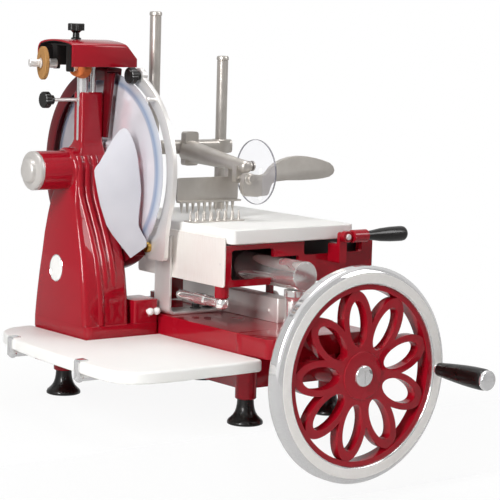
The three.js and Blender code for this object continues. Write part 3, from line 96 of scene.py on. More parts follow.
# Floor, stand and light
# A white stand carries the feet and ends behind the wheel, which hangs in front of it,
# on a white floor. Soft lamps stand left, right and above; none of it belongs to the slicer.
paper = new_material("white_paper", "#f4f4f3", Roughness=0.9)
paper_path = add_node(paper, "ShaderNodeLightPath").outputs
paper_glow = add_node(paper, "ShaderNodeEmission", Color=(1, 1, 1, 1), Strength=1.0)
paper_place = add_node(paper, "ShaderNodeTexCoord")
paper_reach = add_node(
    paper, "ShaderNodeVectorMath", {0: paper_place.outputs["Object"]}, {"operation": "LENGTH"})
paper_white = add_node(
    paper, "ShaderNodeMapRange", {"Value": paper_reach.outputs["Value"]}, {"interpolation_type": "SMOOTHSTEP"},
    From_Min=0.35, From_Max=0.95, To_Min=0.93, To_Max=1.0)
seen_or_glazed = add_node(paper, "ShaderNodeMath", {
    0: paper_path["Is Camera Ray"], 1: paper_path["Is Transmission Ray"]}, {"operation": "MAXIMUM"})
seen_share = add_node(paper, "ShaderNodeMath", {
    0: seen_or_glazed.outputs[0], 1: paper_white.outputs[0]}, {"operation": "MULTIPLY"})
paper_mirrored = add_node(paper, "ShaderNodeEmission", Color=(1, 1, 1, 1), Strength=0.5)
paper_lit = add_node(paper, "ShaderNodeMixShader", {
    0: paper_path["Is Glossy Ray"], 1: shader_of(paper).outputs[0], 2: paper_mirrored.outputs[0]})
paper_mix = add_node(paper, "ShaderNodeMixShader", {
    0: seen_share.outputs[0], 1: paper_lit.outputs[0], 2: paper_glow.outputs[0]})
paper.node_tree.links.new(paper_mix.outputs[0], paper.node_tree.nodes["Material Output"].inputs[0])


def pick(*pieces):
    """Selects these pieces alone, the first of them active."""
    bpy.ops.object.select_all(action="DESELECT")
    for piece in reversed(pieces):
        piece.select_set(True)
        bpy.context.view_layer.objects.active = piece


def slab(name, x, y, z, corner=0.0, steps=6, axis=2):
    """A block between (low, high) pairs in mm, with the four corners along one axis rounded."""
    low, high = Vector((x[0], y[0], z[0])) * mm, Vector((x[1], y[1], z[1])) * mm
    pick()
    bpy.ops.mesh.primitive_cube_add(size=1, location=(low + high) / 2, scale=high - low)
    block = bpy.context.object
    block.name = name
    bpy.ops.object.transform_apply(location=True, rotation=True, scale=True)
    if corner:
        bpy.ops.object.mode_set(mode="EDIT")
        bpy.ops.mesh.select_mode(type="EDGE")
        bpy.ops.mesh.select_all(action="DESELECT")
        bpy.ops.object.mode_set(mode="OBJECT")
        for edge in block.data.edges:
            start, end = (block.data.vertices[index].co for index in edge.vertices)
            edge.select = abs((end - start).normalized()[axis]) > 0.99
        bpy.ops.object.mode_set(mode="EDIT")
        bpy.ops.mesh.bevel(offset=corner * mm, segments=steps, affect="EDGES")
        bpy.ops.object.mode_set(mode="OBJECT")
    return block


floor_side = (-6000, 6000)
stand_foot = -130
for ground in [
    slab("stand", floor_side, (-62, 6000), (stand_foot, 0)),
    slab("floor", floor_side, (-1200, 6000), (stand_foot - 20, stand_foot)),
]:
    ground.data.materials.append(paper)
for name, place, aim, width, height, power in [
    ("lamp_left", (-2.6, -0.9, 1.6), (0, 0.1, 0.2), 0.65, 2.0, 92),
    ("lamp_right", (2.2, -2.2, 2.3), (0.05, 0.1, 0.2), 1.3, 1.6, 38),
    ("lamp_above", (0.2, 0.3, 2.6), (0, 0.1, 0.2), 1.2, 1.6, 28),
]:
    bpy.ops.object.light_add(type="AREA", location=place)
    lamp = bpy.context.object
    lamp.name = name
    lamp.data.shape = "RECTANGLE"
    lamp.data.size = width
    lamp.data.size_y = height
    lamp.data.energy = power
    lamp.rotation_euler = (Vector(aim) - Vector(place)).to_track_quat("-Z", "Y").to_euler()

# The room's even light, and what polished metal sees of it: a grey studio in front, with a bright
# panel at the left, one overhead and one at the right, and the white backdrop behind
world = bpy.data.worlds.new("studio_air")
bpy.context.scene.world = world
world.use_nodes = True
air = world.node_tree.nodes["Background"]
air.inputs["Strength"].default_value = 0.4
seen_air = add_node(world, "ShaderNodeBackground", Color=(1, 1, 1, 1))
air_path = add_node(world, "ShaderNodeLightPath").outputs
air_place = add_node(world, "ShaderNodeTexCoord")
panel_edge_level = 0.18
studio_level = 0.5
brightest = None
for direction, edge, full, strength in [
    ((-0.88, -0.25, 0.40), 0.60, 0.92, 0.95),
    ((0.0, 0.1, 1.0), 0.60, 0.85, 0.9),
    ((0.75, -0.60, 0.25), 0.86, 0.95, 0.6),
    ((0.75, 0.66, 0.05), 0.25, 0.65, 0.8),
]:
    facing = add_node(
        world, "ShaderNodeVectorMath", {0: air_place.outputs["Generated"]}, {"operation": "DOT_PRODUCT"})
    facing.inputs[1].default_value = Vector(direction).normalized()
    panel_light = add_node(
        world, "ShaderNodeMapRange", {"Value": facing.outputs["Value"]}, {"interpolation_type": "SMOOTHSTEP"},
        From_Min=edge, From_Max=full, To_Min=panel_edge_level, To_Max=strength)
    brighter = add_node(world, "ShaderNodeMath", {0: panel_light.outputs[0]}, {"operation": "MAXIMUM"})
    brighter.inputs[1].default_value = studio_level
    if brightest:
        world.node_tree.links.new(brightest.outputs[0], brighter.inputs[1])
    brightest = brighter
mirrored_air = add_node(world, "ShaderNodeBackground", {"Strength": brightest.outputs[0]})
seen_or_through = add_node(world, "ShaderNodeMath", {
    0: air_path["Is Camera Ray"], 1: air_path["Is Transmission Ray"]}, {"operation": "MAXIMUM"})
mirror_mix = add_node(world, "ShaderNodeMixShader", {
    0: air_path["Is Glossy Ray"], 1: air.outputs[0], 2: mirrored_air.outputs[0]})
seen_mix = add_node(world, "ShaderNodeMixShader", {
    0: seen_or_through.outputs[0], 1: mirror_mix.outputs[0], 2: seen_air.outputs[0]})
world.node_tree.links.new(seen_mix.outputs[0], world.node_tree.nodes["World Output"].inputs[0])


# Feet
# Four trumpet feet, moulded in black phenolic resin and screwed into bosses under the castings.
# The resin is glossy, with a soft ripple that shows in its highlights.
def mottle(material, scale, detail, roughness=0.5, stretch=None, tones=None, gloss=None, relief=None):
    """Spreads fine noise over a finish, scale in spots a metre, as two tones, a range of roughness
    and a relief of (strength, depth in mm), each where it is given."""
    place = add_node(material, "ShaderNodeTexCoord").outputs["Object"]
    if stretch:
        place = add_node(material, "ShaderNodeMapping", {"Vector": place}, Scale=stretch).outputs[0]
    noise = add_node(
        material, "ShaderNodeTexNoise", {"Vector": place}, Scale=scale, Detail=detail, Roughness=roughness)
    spots = noise.outputs[0]
    shader, links = shader_of(material), material.node_tree.links
    if tones:
        blend = add_node(material, "ShaderNodeMix", {"Factor": spots}, {"data_type": "RGBA"})
        for socket, tone in zip((6, 7), tones):
            blend.inputs[socket].default_value = colour(tone)
        links.new(blend.outputs[2], shader.inputs["Base Color"])
    if gloss:
        least, most = gloss
        spread = add_node(material, "ShaderNodeMapRange", {"Value": spots}, To_Min=least, To_Max=most)
        links.new(spread.outputs[0], shader.inputs["Roughness"])
    if relief:
        strength, depth = relief
        bump = add_node(material, "ShaderNodeBump", {"Height": spots}, Strength=strength, Distance=depth * mm)
        links.new(bump.outputs[0], shader.inputs["Normal"])


black_phenolic = new_material(
    "black_phenolic", "#0d0907", Roughness=0.28, Specular_IOR_Level=0.4, Coat_Weight=0.25, Coat_Roughness=0.06)
mottle(black_phenolic, 90, 3, gloss=(0.22, 0.36), relief=(0.06, 0.4))
across = Vector((1, 0, 0))
away = Vector((0, 1, 0))
up = Vector((0, 0, 1))


def point_chain(name, points):
    """One line of edges through the points, drawn by extruding a single corner."""
    pick()
    bpy.ops.mesh.primitive_plane_add(size=0.1 * mm, location=points[0])
    chain = bpy.context.object
    chain.name = name
    bpy.ops.object.transform_apply(location=True, rotation=True, scale=True)
    bpy.ops.object.mode_set(mode="EDIT")
    bpy.ops.mesh.select_mode(type="VERT")
    bpy.ops.mesh.select_all(action="SELECT")
    bpy.ops.mesh.merge(type="CENTER")
    for start, end in zip(points, points[1:]):
        bpy.ops.mesh.extrude_vertices_move(TRANSFORM_OT_translate={"value": Vector(end) - Vector(start)})
    bpy.ops.mesh.select_all(action="SELECT")
    return chain


def close_skin():
    """Turns every face of the mesh in edit mode outwards and leaves edit mode."""
    bpy.ops.mesh.select_all(action="SELECT")
    bpy.ops.mesh.normals_make_consistent(inside=False)
    bpy.ops.object.mode_set(mode="OBJECT")


def finish(piece, material, body, nodes=(), edge=0, edge_steps=3, corner=30):
    """Rounds the piece's edges, smooths its faces, gives it its finish and body, and hides the CAD nodes it
    stands for.
    """
    pick(piece)
    if edge:
        bpy.ops.object.modifier_add(type="BEVEL")
        bevel = piece.modifiers[-1]
        bevel.width = edge * mm
        bevel.segments = edge_steps
        bevel.limit_method = "ANGLE"
        bevel.angle_limit = math.radians(corner)
        bpy.ops.object.modifier_apply(modifier=bevel.name)
    bpy.ops.object.shade_smooth_by_angle(angle=math.radians(corner))
    piece.data.materials.clear()
    piece.data.materials.append(material)
    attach(piece, body)
    if nodes:
        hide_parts(*nodes)


def turned(name, place, direction, profile, steps=72):
    """A lathe piece: the profile's (radius, distance) points in mm, spun about the direction through place.
    A profile that ends off the axis is led to it, unless it comes back to its start, as a ring's does."""
    direction = Vector(direction).normalized()
    side = direction.orthogonal().normalized()
    place = Vector(place) * mm
    if profile[0] != profile[-1]:
        on_axis = 0.001
        (first, first_along), (last, last_along) = profile[0], profile[-1]
        lead_in = [(0, first_along)] if first > on_axis else []
        lead_out = [(0, last_along)] if last > on_axis else []
        profile = lead_in + profile + lead_out
    points = [place + side * radius * mm + direction * along * mm for radius, along in profile]
    piece = point_chain(name, points)
    bpy.ops.mesh.spin(steps=steps, angle=math.tau, center=place, axis=direction)
    bpy.ops.mesh.select_all(action="SELECT")
    bpy.ops.mesh.remove_doubles(threshold=0.01 * mm)
    close_skin()
    return piece


def rod(place, direction, radius, start, end, steps=32):
    """A plain round bar, or the tool that cuts a plain bore, from start to end along the direction."""
    return turned("rod", place, direction, [(radius, start), (radius, end)], steps)


def arc_points(centre, radius, start, end, steps):
    """Points of an arc in a profile or an outline, angles in degrees."""
    angles = [math.radians(start + (end - start) * step / steps) for step in range(steps + 1)]
    return [(centre[0] + radius * math.cos(angle), centre[1] + radius * math.sin(angle)) for angle in angles]


for foot_node in ["foot_front_left", "foot_front_right", "foot_tower", "foot_rear_right"]:
    low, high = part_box(foot_node)
    foot_centre = (low + high) / 2 / mm
    foot = turned(foot_node + "_turned", (foot_centre.x, foot_centre.y, 0), up, [
        (27, 0), (29.3, 1.2), (29.5, 4), (28.2, 7), (24.5, 10.5), (20.5, 14.5), (17.2, 20), (15.2, 26),
        (14, 33), (13.5, 41.7)], 64)
    finish(foot, black_phenolic, "machine", [foot_node])

# Base casting
# One hollow aluminium casting: the body, the front ledge, the wing under the tower, the barrel
# for the flywheel's axle and the bosses for the feet. It is smoothed, then stove enamelled red.
# The enamel is thick and glossy, with a faint orange-peel ripple and slightly deeper low spots.
red_enamel = new_material(
    "red_stove_enamel", "#9e0c1f", Roughness=0.24, Specular_IOR_Level=0.06, Coat_Weight=0.75,
    Coat_Roughness=0.03, Coat_IOR=1.5)
mottle(red_enamel, 160, 2, relief=(0.05, 0.3))
mottle(red_enamel, 9, 3, tones=("#980a1b", "#a60f23"), gloss=(0.18, 0.32))


def combine(piece, how, others):
    """Joins other solids to the piece, cuts them out of it or keeps what both share, one by one."""
    for other in others:
        pick(piece)
        bpy.ops.object.modifier_add(type="BOOLEAN")
        boolean = piece.modifiers[-1]
        boolean.operation = how
        boolean.solver = "EXACT"
        boolean.object = other
        bpy.ops.object.modifier_apply(modifier=boolean.name)
        bpy.data.objects.remove(other)
    return piece


def join_on(piece, *others):
    return combine(piece, "UNION", others)


def cut_out(piece, *others):
    return combine(piece, "DIFFERENCE", others)


base_low, base_high = (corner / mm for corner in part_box("base_casting"))
base_left, base_right = -16, base_high.x
base_top = base_high.z
body_front = -12
casting_wall = 8
wing_top = 117.5
ledge_under = 118
boss_radius = 17.5
foot_places = [(0, 0), (175, 0), (-121.5, 362), (175, 362)]
base = slab("base_enamelled", (base_left, base_right), (body_front, base_high.y), (60, base_top), 14)
for x, y in foot_places:
    under = (wing_top if x < base_left else base_top) - 3
    join_on(base, turned("boss", (x, y, 0), up, [(16.3, 42), (boss_radius, 43.2), (boss_radius, under)], 48))
join_on(
    base,
    slab("wing", (-163, base_left + 30), (225, 401), (60, wing_top), 14),
    slab("ledge", (base_left, base_right), (base_low.y, body_front + 40), (ledge_under, base_top), 14),
    turned("barrel", (148, 0, 85), away, [(22.5, -80), (25, -77.5), (25, -4)], 64),
    slab("web", (123, 173), (-77, -8), (85, ledge_under + 2)))
hollow = slab(
    "hollow", (base_left + casting_wall, base_right - casting_wall), (body_front + casting_wall, 405),
    (50, base_top - casting_wall), 6)
for x, y in foot_places:
    if x > base_left:
        cut_out(hollow, rod((x, y, 0), up, boss_radius, 40, 160, 48))
cut_out(base, hollow)
finish(base, red_enamel, "machine", ["base_casting"], 2.2, 3, 40)

# Tower casting
# A tapering hollow casting bolted on the wing, with a skirt, the blade shaft's barrel across its
# rounded head and the upright column for the sharpener, which grows out of the head in a fillet.
tower_levels = [
    (137, -162.5, -72, 233, 401), (160, -163, -72, 235, 397), (183, -163, -72, 237, 393),
    (216, -162, -72, 243, 388), (249, -160, -72, 251, 383), (282, -156, -72, 266, 382),
    (314, -150, -72, 283, 381), (338, -145, -72, 296, 379), (352, -141, -72, 301.5, 377),
    (368, -139, -72, 304, 374), (385, -137, -72, 305, 370), (398, -136, -72, 306, 365),
]


def filled(name, points):
    """One face inside the outline through the points, left selected in edit mode."""
    outline = point_chain(name, points)
    bpy.ops.mesh.edge_face_add()
    return outline


def draw_on(run):
    """Draws the selected face out along a run."""
    bpy.ops.mesh.extrude_region_move(TRANSFORM_OT_translate={"value": run})


def section_loft(name, levels, corner, steps=5):
    """A skin over rounded rectangles: each level is (z, left, right, front, back) in mm."""
    z, left, right_side, front, back = levels[0]
    outline = []
    for centre_x, centre_y, start in [
        (right_side - corner, front + corner, -90), (right_side - corner, back - corner, 0),
        (left + corner, back - corner, 90), (left + corner, front + corner, 180),
    ]:
        outline += arc_points((centre_x, centre_y), corner, start, start + 90, steps)
    loft = filled(name, [Vector((x, y, z)) * mm for x, y in outline])
    for lower, upper in zip(levels, levels[1:]):
        middle, target = (
            Vector(((left + right_side) / 2, (front + back) / 2, z)) * mm
            for z, left, right_side, front, back in (lower, upper))
        draw_on(target - middle)
        width = (upper[2] - upper[1]) / (lower[2] - lower[1])
        depth = (upper[4] - upper[3]) / (lower[4] - lower[3])
        bpy.ops.transform.resize(value=(width, depth, 1), center_override=target)
    close_skin()
    return loft


def round_rail(name, points, radius, steps=4):
    """A round bead or rib along the points, in mm, made as a curve and turned into a mesh."""
    point_chain(name, [Vector(point) * mm for point in points])
    bpy.ops.object.mode_set(mode="OBJECT")
    bpy.ops.object.convert(target="CURVE")
    rail = bpy.context.object
    rail.data.bevel_depth = radius * mm
    rail.data.bevel_resolution = steps
    rail.data.use_fill_caps = True
    bpy.ops.object.convert(target="MESH")
    return bpy.context.object


blade_y = 343
blade_z = 391
hub_left = -196
head_left = -137
head_radius = 38
tower = section_loft("tower_enamelled", tower_levels, 11)
join_on(
    tower,
    turned("hub_barrel", (0, blade_y, blade_z), across, [
        (32, hub_left), (33, hub_left + 1), (33, head_left - 7), (33.6, head_left - 4), (35.2, head_left - 1.4),
        (head_radius, head_left), (head_radius, -74)], 96),
    section_loft("column", [
        (385, -136, -70.6, 308, 378), (406, -134, -70.6, 311, 375), (418, -129, -70.5, 316, 370),
        (427, -122, -70.4, 322, 364), (434, -117, -70.3, 326.5, 359.5), (442, -114, -70.3, 329, 357),
        (519, -114, -70.3, 329, 357), (523, -113, -71.3, 330, 356)], 9),
    slab("skirt", (-163, -16), (225, 401), (117.8, 137), 12),
    slab("near_block", (-66, -18), (229, 285), (130, 176), 4))
post_x, pin_x = -105, -84
cut_out(tower, rod((post_x, blade_y, 0), up, 10, 500, 530), rod((pin_x, blade_y, 0), up, 5.5, 500, 530))
finish(tower, red_enamel, "machine", ["tower_casting"], 1.6, 3, 42)

# Flutes on the tower's front: broad cast ribs, most of each sunk in the wall, that start on the
# rounded head and fade into the face lower down. The corner's own rib runs on to the skirt.
flute_radius = 8
flute_sunk = 5.4
for number, (inset, lowest) in enumerate([(8, 0), (22, 3), (37, 3)]):
    flute_points = []
    for z, left, right_side, front, back in tower_levels[lowest:]:
        height = z - blade_z
        if abs(height) < head_radius:
            front = min(front, blade_y - math.sqrt(head_radius ** 2 - height ** 2))
        flute_points.append((max(left, head_left) + inset, front + flute_sunk, z))
    x, y, z = flute_points[0]
    if lowest:
        flute_points.insert(0, (x - 1, y - 1.5, z - 30))
    x, y, z = flute_points[-1]
    flute_points.append((x, y + 7, z + 16))
    flute = round_rail(f"tower_flute_{number + 1}", flute_points, flute_radius, 6)
    finish(flute, red_enamel, "machine", corner=60)

# Hub cap and badge plate
# The barrel's end is closed by a turned brass cap in satin nickel plate, an even grey with a fine
# grain. Chrome plate on this machine is a mirror with a very faint polishing haze.
chrome_plate = new_material("chrome_plate", "#f1f0f0", Metallic=0.78, Roughness=0.08)
mottle(chrome_plate, 40, 4, gloss=(0.04, 0.12))
satin_plate = new_material("satin_nickel_plate", "#ccc8c4", Metallic=0.35, Roughness=0.36)
mottle(satin_plate, 150, 5, 0.7, gloss=(0.28, 0.44), relief=(0.04, 0.1))
hub_cap = turned("hub_cap_turned", (hub_left - 0.3, blade_y, blade_z), -across, [
    (32.6, 0), (33, 0.8), (33, 6), (32, 8), (29.5, 9.2), (23, 9.4), (21, 10.4), (20.3, 12), (19.6, 15.4),
    (17.4, 18), (13, 19.6), (7, 20)], 96)
finish(hub_cap, satin_plate, "machine", ["hub_end_cap"])

# A blank oval plate, pressed from sheet and enamelled white, in a bright rim. The white enamel is
# smooth and glassy, with the least ripple.
white_enamel = new_material(
    "white_vitreous_enamel", "#f3f2ef", Roughness=0.25, Coat_Weight=0.4, Coat_Roughness=0.05)
mottle(white_enamel, 120, 3, relief=(0.04, 0.2))
badge_low, badge_high = (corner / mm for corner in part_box("badge_plate"))
badge_middle = (badge_low + badge_high) / 2
badge_lean = math.atan2(3, 66)
badge_inner, badge_outer = 21.3, 23
badge_back = -0.7


def badge_ring(name, profile):
    """A round pressed plate, drawn in to the badge's oval and leant against the tower's face."""
    ring = turned(name, badge_middle, -across, profile)
    middle = badge_middle * mm
    bpy.ops.object.mode_set(mode="EDIT")
    bpy.ops.transform.resize(value=(1, 20 / 23, 1), center_override=middle)
    bpy.ops.transform.rotate(value=-badge_lean, orient_axis="Y", center_override=middle)
    bpy.ops.object.mode_set(mode="OBJECT")
    return ring


badge_face = badge_ring("badge_face", [(badge_inner, badge_back), (badge_inner, 0.2), (17, 0.55), (0, 0.7)])
finish(badge_face, white_enamel, "machine", ["badge_plate"])
badge_rim = badge_ring("badge_rim", [
    (badge_inner, badge_back), (badge_outer, badge_back), (badge_outer, 0.3), (22.5, 0.75), (21.8, 0.75),
    (badge_inner, 0.3), (badge_inner, badge_back)])
finish(badge_rim, chrome_plate, "machine")

# Blade
# The round knife: hardened steel, ground flat, with a dished centre and a hollow-ground bevel
# whose edge is the last half millimetre. A shouldered nut holds it on its shaft.
# The steel is pale, with fine uneven grinding marks; over its bevel the colour turns to a blue-grey band, a
# painted reflection.
blade_radius = 165
blade_back = -49
blade_face = blade_back - 5
blade_axis = (0, blade_y, blade_z)
ground_steel = new_material("ground_stainless", "#f3f0f7", Metallic=0.5, Roughness=0.25, Anisotropic=0.4)
mottle(ground_steel, 55, 5, 0.7, gloss=(0.14, 0.28), relief=(0.03, 0.2))
ground_place = add_node(ground_steel, "ShaderNodeTexCoord")
ground_flat = add_node(
    ground_steel, "ShaderNodeVectorMath", {0: ground_place.outputs["Object"]}, {"operation": "MULTIPLY"})
ground_flat.inputs[1].default_value = (0, 1, 1)
ground_reach = add_node(
    ground_steel, "ShaderNodeVectorMath", {0: ground_flat.outputs[0]}, {"operation": "DISTANCE"})
ground_reach.inputs[1].default_value = (0, blade_y * mm, blade_z * mm)
# Painted reflection: the base colour turns blue-grey in a ring over the bevel, by distance from the blade's
# axis
bevel_reflection_bands = add_node(ground_steel, "ShaderNodeValToRGB", {"Fac": ground_reach.outputs["Value"]})
reflection_ramp = bevel_reflection_bands.color_ramp.elements
for band, reach, shade in [(reflection_ramp[0], 0.1475, "#f3f0f7"), (reflection_ramp[1], 0.1665, "#e4e6ee")]:
    band.position = reach
    band.color = colour(shade)
for reach, shade in [(0.149, "#8fa3c4"), (0.1535, "#a9bad6"), (0.1575, "#dfe3ee")]:
    reflection_ramp.new(reach).color = colour(shade)
ground_steel.node_tree.links.new(bevel_reflection_bands.outputs[0], shader_of(ground_steel).inputs["Base Color"])
blade = turned("blade_ground", blade_axis, across, [
    (12.3, blade_face - 8), (44, blade_face - 8), (45.5, blade_face - 7.6), (50.5, blade_face - 1),
    (53, blade_face), (blade_radius - 16.5, blade_face), (blade_radius - 16, blade_face + 0.2),
    (blade_radius - 8, blade_face + 2.6), (blade_radius, blade_back - 0.5), (blade_radius, blade_back),
    (blade_radius - 40, blade_back), (12.3, blade_back), (12.3, blade_face - 8)], 144)
finish(blade, ground_steel, "blade", ["blade"])
nut = turned("blade_nut", blade_axis, across, [
    (20, blade_back + 0.3), (20, blade_back + 8.4), (18.6, blade_back + 9), (12, blade_back + 9),
    (12, blade_back + 11.4), (11.4, blade_back + 12)], 6)
finish(nut, ground_steel, "blade", (), 0.6, 2, 25)

# Rear guard
# A U-section ring cast in one with its stay and foot, round the rear half of the blade, screwed
# to the tower. Its enamel is a darker red than the castings': painted shade for its shadowed
# channel, cloudy in broad soft patches.
# Painted shade: the castings' red darkened for the guard's shadowed channel
shaded_red = new_material(
    "shaded_red_enamel", "#5c0a14", Roughness=0.3, Specular_IOR_Level=0.06, Coat_Weight=0.6, Coat_Roughness=0.04,
    Coat_IOR=1.5)
mottle(shaded_red, 12, 3, tones=("#520810", "#6a0e18"))
guard_left, guard_right = -70, -39.5
guard_inner = blade_radius + 3
guard_outer = guard_inner + 6.5
guard_lip = guard_inner - 16
guard_arc = 224
guard_end = 97


def on_blade(radius, degrees):
    """A (y, z) place in mm at a radius and angle round the blade's axis."""
    angle = math.radians(degrees)
    return (blade_y + radius * math.cos(angle), blade_z + radius * math.sin(angle))


def ring_sector(name, profile, start, turn, steps):
    """A closed profile of (radius, x) points in mm, swept round the blade's axis from a start angle."""
    angle = math.radians(start)
    outward = Vector((0, math.cos(angle), math.sin(angle)))
    centre = Vector(blade_axis) * mm
    ring = filled(name, [centre + outward * radius * mm + across * x * mm for radius, x in profile])
    bpy.ops.mesh.spin(steps=steps, angle=math.radians(turn), center=centre, axis=-across)
    close_skin()
    return ring


def drawn(name, points, run):
    """A solid drawn out along a run from the face inside an outline, all in mm."""
    solid = filled(name, [Vector(point) * mm for point in points])
    draw_on(run * mm)
    close_skin()
    return solid


def plate(name, points, x_low, x_high):
    """A flat plate across X, its outline in (y, z) points."""
    return drawn(name, [(x_low, y, z) for y, z in points], across * (x_high - x_low))


channel = [
    (guard_lip, guard_left), (guard_outer - 2, guard_left), (guard_outer - 0.6, guard_left + 0.6),
    (guard_outer, guard_left + 2), (guard_outer, guard_right - 2), (guard_outer - 0.6, guard_right - 0.6),
    (guard_outer - 2, guard_right), (guard_lip, guard_right), (guard_lip, guard_right - 3),
    (guard_inner, guard_right - 3), (guard_inner, guard_left + 3), (guard_lip, guard_left + 3),
]
rear_guard = ring_sector("rear_guard_enamelled", channel, guard_end - guard_arc, guard_arc, 88)
low_y, low_z = on_blade(56, 100)
high_y, high_z = on_blade(guard_inner, guard_end + 3)
join_on(
    rear_guard,
    plate("stay", [(low_y - 11, low_z), (low_y + 11, low_z), (high_y + 15, high_z), (high_y - 11, high_z)],
          guard_left, guard_left + 5),
    slab("guard_pad", (-71.7, -68), (329, 357), (218.5, 237)))
finish(rear_guard, shaded_red, "machine", ["rear_guard"], 0.7, 2, 35)

# Front guard, its knob and its bolt
# A flat ring of satin stainless plate on the blade's near side, with a leg down to the bracket.
# It lifts off when the black knob at its top is unscrewed.
# Satin stainless is brushed one way, so its grain runs in short level strokes and dulls the shine.
satin_steel = new_material("satin_stainless", "#eae7e4", Metallic=0.55, Roughness=0.36)
mottle(satin_steel, 60, 6, 0.7, (1, 1, 14), gloss=(0.28, 0.46), relief=(0.05, 0.2))
band_inner = blade_radius - 6
band_outer = band_inner + 20
band_left, band_right = -38, -30
knob_angle = 113
band_end = 206
knob_place = on_blade(blade_radius + 12, knob_angle)
bolt_place = on_blade(blade_radius + 2.2, 228.4)
bolt_y, bolt_z = bolt_place
front_guard = ring_sector("front_guard_plate", [
    (band_inner, band_left), (band_outer, band_left), (band_outer, band_right), (band_inner, band_right),
], knob_angle - 2, band_end - knob_angle + 2, 40)
leg = plate("guard_leg", [
    on_blade(band_outer, band_end - 4), (bolt_y - 48, bolt_z + 22), (bolt_y - 46, bolt_z - 14),
    (bolt_y - 42, bolt_z - 19), (bolt_y - 36, bolt_z - 20), (bolt_y + 10, bolt_z - 20),
    (bolt_y + 14, bolt_z - 16), (bolt_y + 14, bolt_z + 16), (bolt_y - 20, bolt_z + 22),
    on_blade(band_inner + 0.4, band_end - 0.4),
], band_left, band_right)
join_on(front_guard, leg, rod((0, *knob_place), across, 13, band_left, band_right, 48))
cut_out(front_guard, rod((0, *bolt_place), across, 4.4, -40, -28, 24))
finish(front_guard, satin_steel, "machine", ["front_guard"], 1.2, 3, 35)


def bolted(name, *pieces):
    """Joins meshes that belong to one piece, as bolted or pressed together."""
    pick(*pieces)
    bpy.ops.object.join()
    bpy.context.object.name = name
    return bpy.context.object


def fluted_disc(name, place, direction, radius, start, end, flutes=20, depth=0.7):
    """The grip of a moulded knob: a disc with shallow flutes round its rim, in mm."""
    side = direction.orthogonal().normalized()
    other = direction.cross(side)
    centre, top = ((Vector(place) + direction * along) * mm for along in (start, end))
    count = flutes * 6
    points = []
    for step in range(count):
        angle = math.tau * step / count
        reach = (radius - depth * (1 - math.cos(flutes * angle)) / 2) * mm
        points.append(centre + side * reach * math.cos(angle) + other * reach * math.sin(angle))
    disc = filled(name, points)
    for run in (2, end - start - 3, 1):
        draw_on(direction * run * mm)
    bpy.ops.transform.resize(value=(0.92, 0.92, 0.92), center_override=top)
    close_skin()
    return disc


knob_origin = (band_left - 0.3, *knob_place)
guard_knob = bolted(
    "guard_knob_moulded",
    turned("knob_core", knob_origin, -across, [(8, 0), (8, 4), (10.5, 6), (12.5, 8), (12.5, 9)], 48),
    fluted_disc("knob_grip", knob_origin, -across, 14, 8.5, 20),
    turned("knob_face", knob_origin, -across, [(11, 19), (10, 21.2), (7, 22)], 48))
finish(guard_knob, black_phenolic, "guard_knob", ["guard_knob"], corner=28)
knob_screw = turned("guard_knob_screw", knob_origin, across, [
    (4, -0.4), (4, 8.6), (8, 8.6), (8, 13.6), (7.2, 14.6), (4, 14.6), (4, 17), (3.4, 17.6)], 32)
finish(knob_screw, satin_steel, "guard_knob")

# Short stud with a rounded head on the guard's face, a little below the knob
grab_stud = turned("guard_grab_stud", (band_left, *on_blade(blade_radius + 10, 134.3)), -across, [
    (4, -1), (4, 1.2), (3.2, 1.8), (3.2, 13), (4.2, 13.6), (4.2, 17.2), (3.4, 18)], 32)
finish(grab_stud, satin_steel, "machine")

# Brass cap bolt through the guard's leg into the bracket's arm, unevenly tarnished from brown to gold
brass = new_material("turned_brass", "#b8924a", Metallic=1.0, Roughness=0.28)
mottle(brass, 70, 5, tones=("#8f6c33", "#d6b264"))
bolt_origin = (band_left - 0.3, *bolt_place)
guard_bolt = turned("guard_bolt_turned", bolt_origin, across, [
    (7.6, -7), (8.7, -6.2), (9, -5), (9, 0), (4, 0), (4, 29)], 36)
cut_out(guard_bolt, rod(bolt_origin, across, 4.2, -8, -3.6, 6))
finish(guard_bolt, brass, "machine", ["guard_bolt"])

# Slice deflector
# A pressed sheet of stainless, softly domed, that peels each slice off the blade's edge and sends
# it down to the tray. It is screwed to the tower beside the hub.
# The sheet is rubbed down to a soft silvery grey that is lighter and darker in broad waves.
sheet_steel = new_material(
    "polished_sheet_steel", "#c9c8d1", Metallic=0.12, Roughness=0.5, Specular_IOR_Level=0.25)
mottle(sheet_steel, 12, 2, tones=("#adacb4", "#cfced3"), relief=(0.05, 0.5))
sheet_right = Vector((-59, 222, 0))
sheet_run = Vector((-117, 284, 0)) - sheet_right
sheet_facing = -sheet_run.normalized().cross(up)
dome_radius = 900
dome_top = (sheet_right + sheet_run * 0.5 + sheet_facing * 5) + Vector((0, 0, 365))
dome_low = 90 - 9.5
dome_section = arc_points((0, 0), dome_radius, 90, dome_low, 24)
dome_section += arc_points((0, 0), dome_radius - 2, dome_low, 90, 24)
deflector = turned("deflector_domed", dome_top - sheet_facing * dome_radius, sheet_facing, dome_section, 96)
sheet_edge = [
    (-0.09, 269), (0.23, 248), (0.44, 270), (0.6, 287), (0.72, 303), (0.85, 336), (0.92, 362), (0.97, 383),
    (0.985, 394), (0.96, 400), (0.89, 407), (0.75, 429), (0.6, 452), (0.5, 463), (0.42, 467), (0.36, 466),
    (0.3, 460), (0.19, 441), (0.11, 417), (0.06, 388), (0.03, 364), (0.04, 347), (0.07, 320), (0.07, 304),
    (0.0, 292), (-0.09, 279),
]
sheet_outline = [
    sheet_right + sheet_run * share + up * height + sheet_facing * 40 for share, height in sheet_edge]
combine(deflector, "INTERSECT", [drawn("deflector_outline", sheet_outline, sheet_facing * -90)])
finish(deflector, sheet_steel, "machine", ["slice_deflector"], corner=40)

